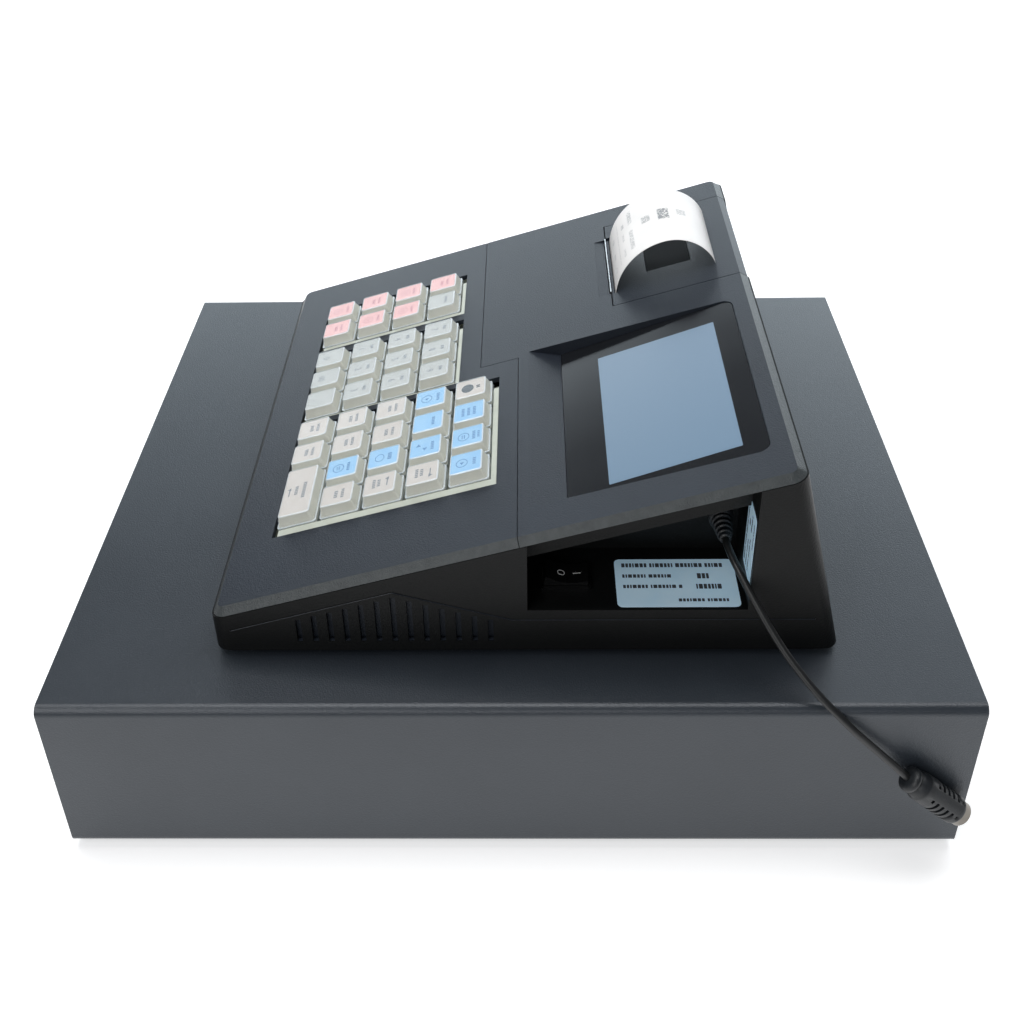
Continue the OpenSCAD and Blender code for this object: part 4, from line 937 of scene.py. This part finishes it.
def addSlip():
    length = sum(math.radians(start - end) * radius for _, _, radius, start, end in slip["arcs"])
    columns = 2 * round(slip["width"] / slip["tooth"])
    bm = bmesh.new()
    bmesh.ops.create_grid(bm, x_segments=columns, y_segments=slip["rows"], size=0.5)
    layer = bm.loops.layers.uv.new("slip")
    printed = bm.verts.layers.float.new("print")
    for face in bm.faces:
        for loop in face.loops:
            place = loop.vert.co
            loop[layer].uv = ((place.x + 0.5) * slip["width"], (place.y + 0.5) * length)
    for vert in bm.verts:
        column = round((vert.co.x + 0.5) * columns)
        across = (vert.co.x + 0.5) * slip["width"]
        distance = (vert.co.y + 0.5) * length
        for middle, along, width, height, strength in slip["print"]:
            if abs(across - middle) < width / 2 and abs(distance - along) < height / 2:
                vert[printed] = strength
        if vert.co.y > 0.499 and column % 2:
            distance -= slip["toothDepth"]      # the torn edge's teeth
        up, off = slipPoint(distance)
        vert.co = (slip["centreAcross"] + vert.co.x * slip["width"], up, off)
    piece = newPiece("printedSlip", bm, slopePlace, "lid", [slipPaper], 60)
    wall = piece.modifiers.new("paperThickness", "SOLIDIFY")
    wall.thickness = slip["thickness"] / 1000
    wall.offset = -1
    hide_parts("receipt")


addSlip()
print("slip made")


# labels: size along and across their lines, and middle; stroke sizes are for one 22 mm high
bay = {
    "floorLabel": {"size": (48.6, 28.8), "middle": (119.0, 67.6, 106.0), "corner": 2.2},
    "wallLabel": {"size": (32.0, 17.0), "middle": (124.0, 94.0, 132.0), "corner": 1.6},
    "thickness": 0.15, "ink": 0.02,
    # lines of strokes: distance from the upper edge, height, length and indent as shares
    "lines": ((0.13, 0.085, 0.86, 0.06), (0.36, 0.07, 0.4, 0.06), (0.36, 0.11, 0.1, 0.68),
              (0.58, 0.07, 0.5, 0.06), (0.58, 0.1, 0.24, 0.66), (0.86, 0.06, 0.42, 0.5)),
    "strokes": (1.0, 0.7, 1.2, 0.8, 0.5), "gap": 0.3, "wordGap": 0.9, "wordLength": 7,
    "drawnFor": 22, "leastLeft": 0.5,
}
# marks on the rocker, which stands 8 degrees over at rest: middle from its pivot, and lean
rockerMarks = {
    "pivot": (115.8, 23.0, 105.9), "rest": 8.0, "ink": 0.05,
    "ring": ((0, -2.0, 2.78), -8), "ringRadius": 1.5, "ringWidth": 0.35, "ringStretch": 1.1,
    "bar": ((0, 4.4, 3.3), 14), "barSize": (0.4, 3.2),
}


def addLabel(name, label, place):
    # a bare label with rows of plain strokes
    (width, height), thick, ink = label["size"], bay["thickness"], bay["ink"]
    scale = height / bay["drawnFor"]
    bm = bmesh.new()
    addPlate(bm, width, height, thick, (0, 0, thick / 2), label["corner"])
    for line, (down, tall, long, indent) in enumerate(bay["lines"]):
        start, end, stroke = (indent - 0.5) * width, (indent + long - 0.5) * width, 0
        while start < end - bay["leastLeft"]:
            step = bay["strokes"][(stroke * 3 + line) % 5] * scale
            addBox(bm, (step, tall * height, ink),
                   (start + step / 2, (0.5 - down) * height, thick + ink / 2), 1)
            stroke += 1
            start += step + bay["gap" if stroke % bay["wordLength"] else "wordGap"] * scale
    newPiece(name, bm, place, "case", [labelFoilPaintedGlow, inks["dark"]], 30)


def addLabels():
    quarter = math.pi / 2
    floor, wall = bay["floorLabel"], bay["wallLabel"]
    addLabel("bayFloorLabel", floor, metres @ Matrix.Translation(floor["middle"])
             @ Matrix.Rotation(quarter, 4, "Z"))
    addLabel("bayWallLabel", wall, metres @ Matrix.Translation(wall["middle"])
             @ Matrix.Rotation(quarter, 4, "X") @ Matrix.Rotation(quarter, 4, "Z"))


def layMark(bm, verts, middle, lean):
    bmesh.ops.rotate(bm, verts=verts, matrix=Matrix.Rotation(math.radians(lean), 3, "X"))
    bmesh.ops.translate(bm, verts=verts, vec=middle)


def addRockerMarks():
    # the ring at the off end and the bar at the on end
    m = rockerMarks
    bm = bmesh.new()
    addRing(bm, (0, 0, 0), m["ringRadius"], m["ringWidth"], m["ink"], 0, m["ringStretch"])
    layMark(bm, bm.verts, *m["ring"])
    layMark(bm, addBox(bm, (*m["barSize"], m["ink"]), (0, 0, 0)), *m["bar"])
    place = (metres @ Matrix.Translation(m["pivot"])
             @ Matrix.Rotation(math.radians(-m["rest"]), 4, "X"))
    newPiece("rockerMarks", bm, place, "rocker", [inks["white"]], 30)


addLabels()
addRockerMarks()
print("bay finished")


# in mm; the groove is given by y and z of its middle, and the liner lies on the wall's inner face
sideRelief = {
    "groove": ((-111, 95.5), (-45, 115.4), (1.7, 101), (121, 101)),
    "lip": 0.4, "below": 0.5, "sunk": 0.3,
    "vents": 13, "pitch": 6.37, "foot": 89.7, "ventBelow": 2.6,
    "wall": 2.5, "liner": 0.5, "play": 0.05, "overlap": 1.5,
    "sill": (1.2, 2.1, 1.0), "sillIn": 1.0, "sillFall": 0.35,
}


def addSideRelief():
    # the groove's lower lip and the vents' sills, in slate ABS lighter than the black housing as
    # painted highlights where they catch the light, and the liner that keeps dust out of the vents
    r = sideRelief
    left, right = (corner[0] * 1000 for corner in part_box("base_housing"))
    bm = bmesh.new()
    for (y0, z0), (y1, z1) in zip(r["groove"], r["groove"][1:]):
        made = addBox(bm, (r["lip"], math.hypot(y1 - y0, z1 - z0), r["lip"]), (0, 0, 0))
        for turn, axis in ((math.pi / 4, "Y"), (math.atan2(z1 - z0, y1 - y0), "X")):
            bmesh.ops.rotate(bm, verts=made, matrix=Matrix.Rotation(turn, 3, axis))
        bmesh.ops.translate(bm, verts=made, vec=(right - r["sunk"], (y0 + y1) / 2,
                                                 (z0 + z1) / 2 - r["below"]))
    front, peak, back = r["groove"][:3]
    inside = r["wall"] + r["liner"] / 2 + r["play"]
    for i in range(r["vents"]):
        y = peak[0] + (i - (r["vents"] - 1) / 2) * r["pitch"]
        low = front if y < peak[0] else back
        top = low[1] + (y - low[0]) * (peak[1] - low[1]) / (peak[0] - low[0]) - r["ventBelow"]
        for x in (left + inside, right - inside):
            addBox(bm, (r["liner"], r["pitch"] - r["play"], top - r["foot"] + r["overlap"]),
                   (x, y, (top + r["foot"]) / 2))
        sill = addBox(bm, r["sill"], (right - r["sillIn"], y, r["foot"]))
        outer = [v for v in sill if v.co.x > right - r["sillIn"] and v.co.z > r["foot"]]
        bmesh.ops.translate(bm, verts=outer, vec=(0, 0, -r["sillFall"]))
    # the lip's and sills' lighter slate tone is a painted highlight
    newPiece("sideRelief", bm, metres, "case", [finish["sparkErodedAbsSlate"]],
             30)


addSideRelief()
print("side relief made")
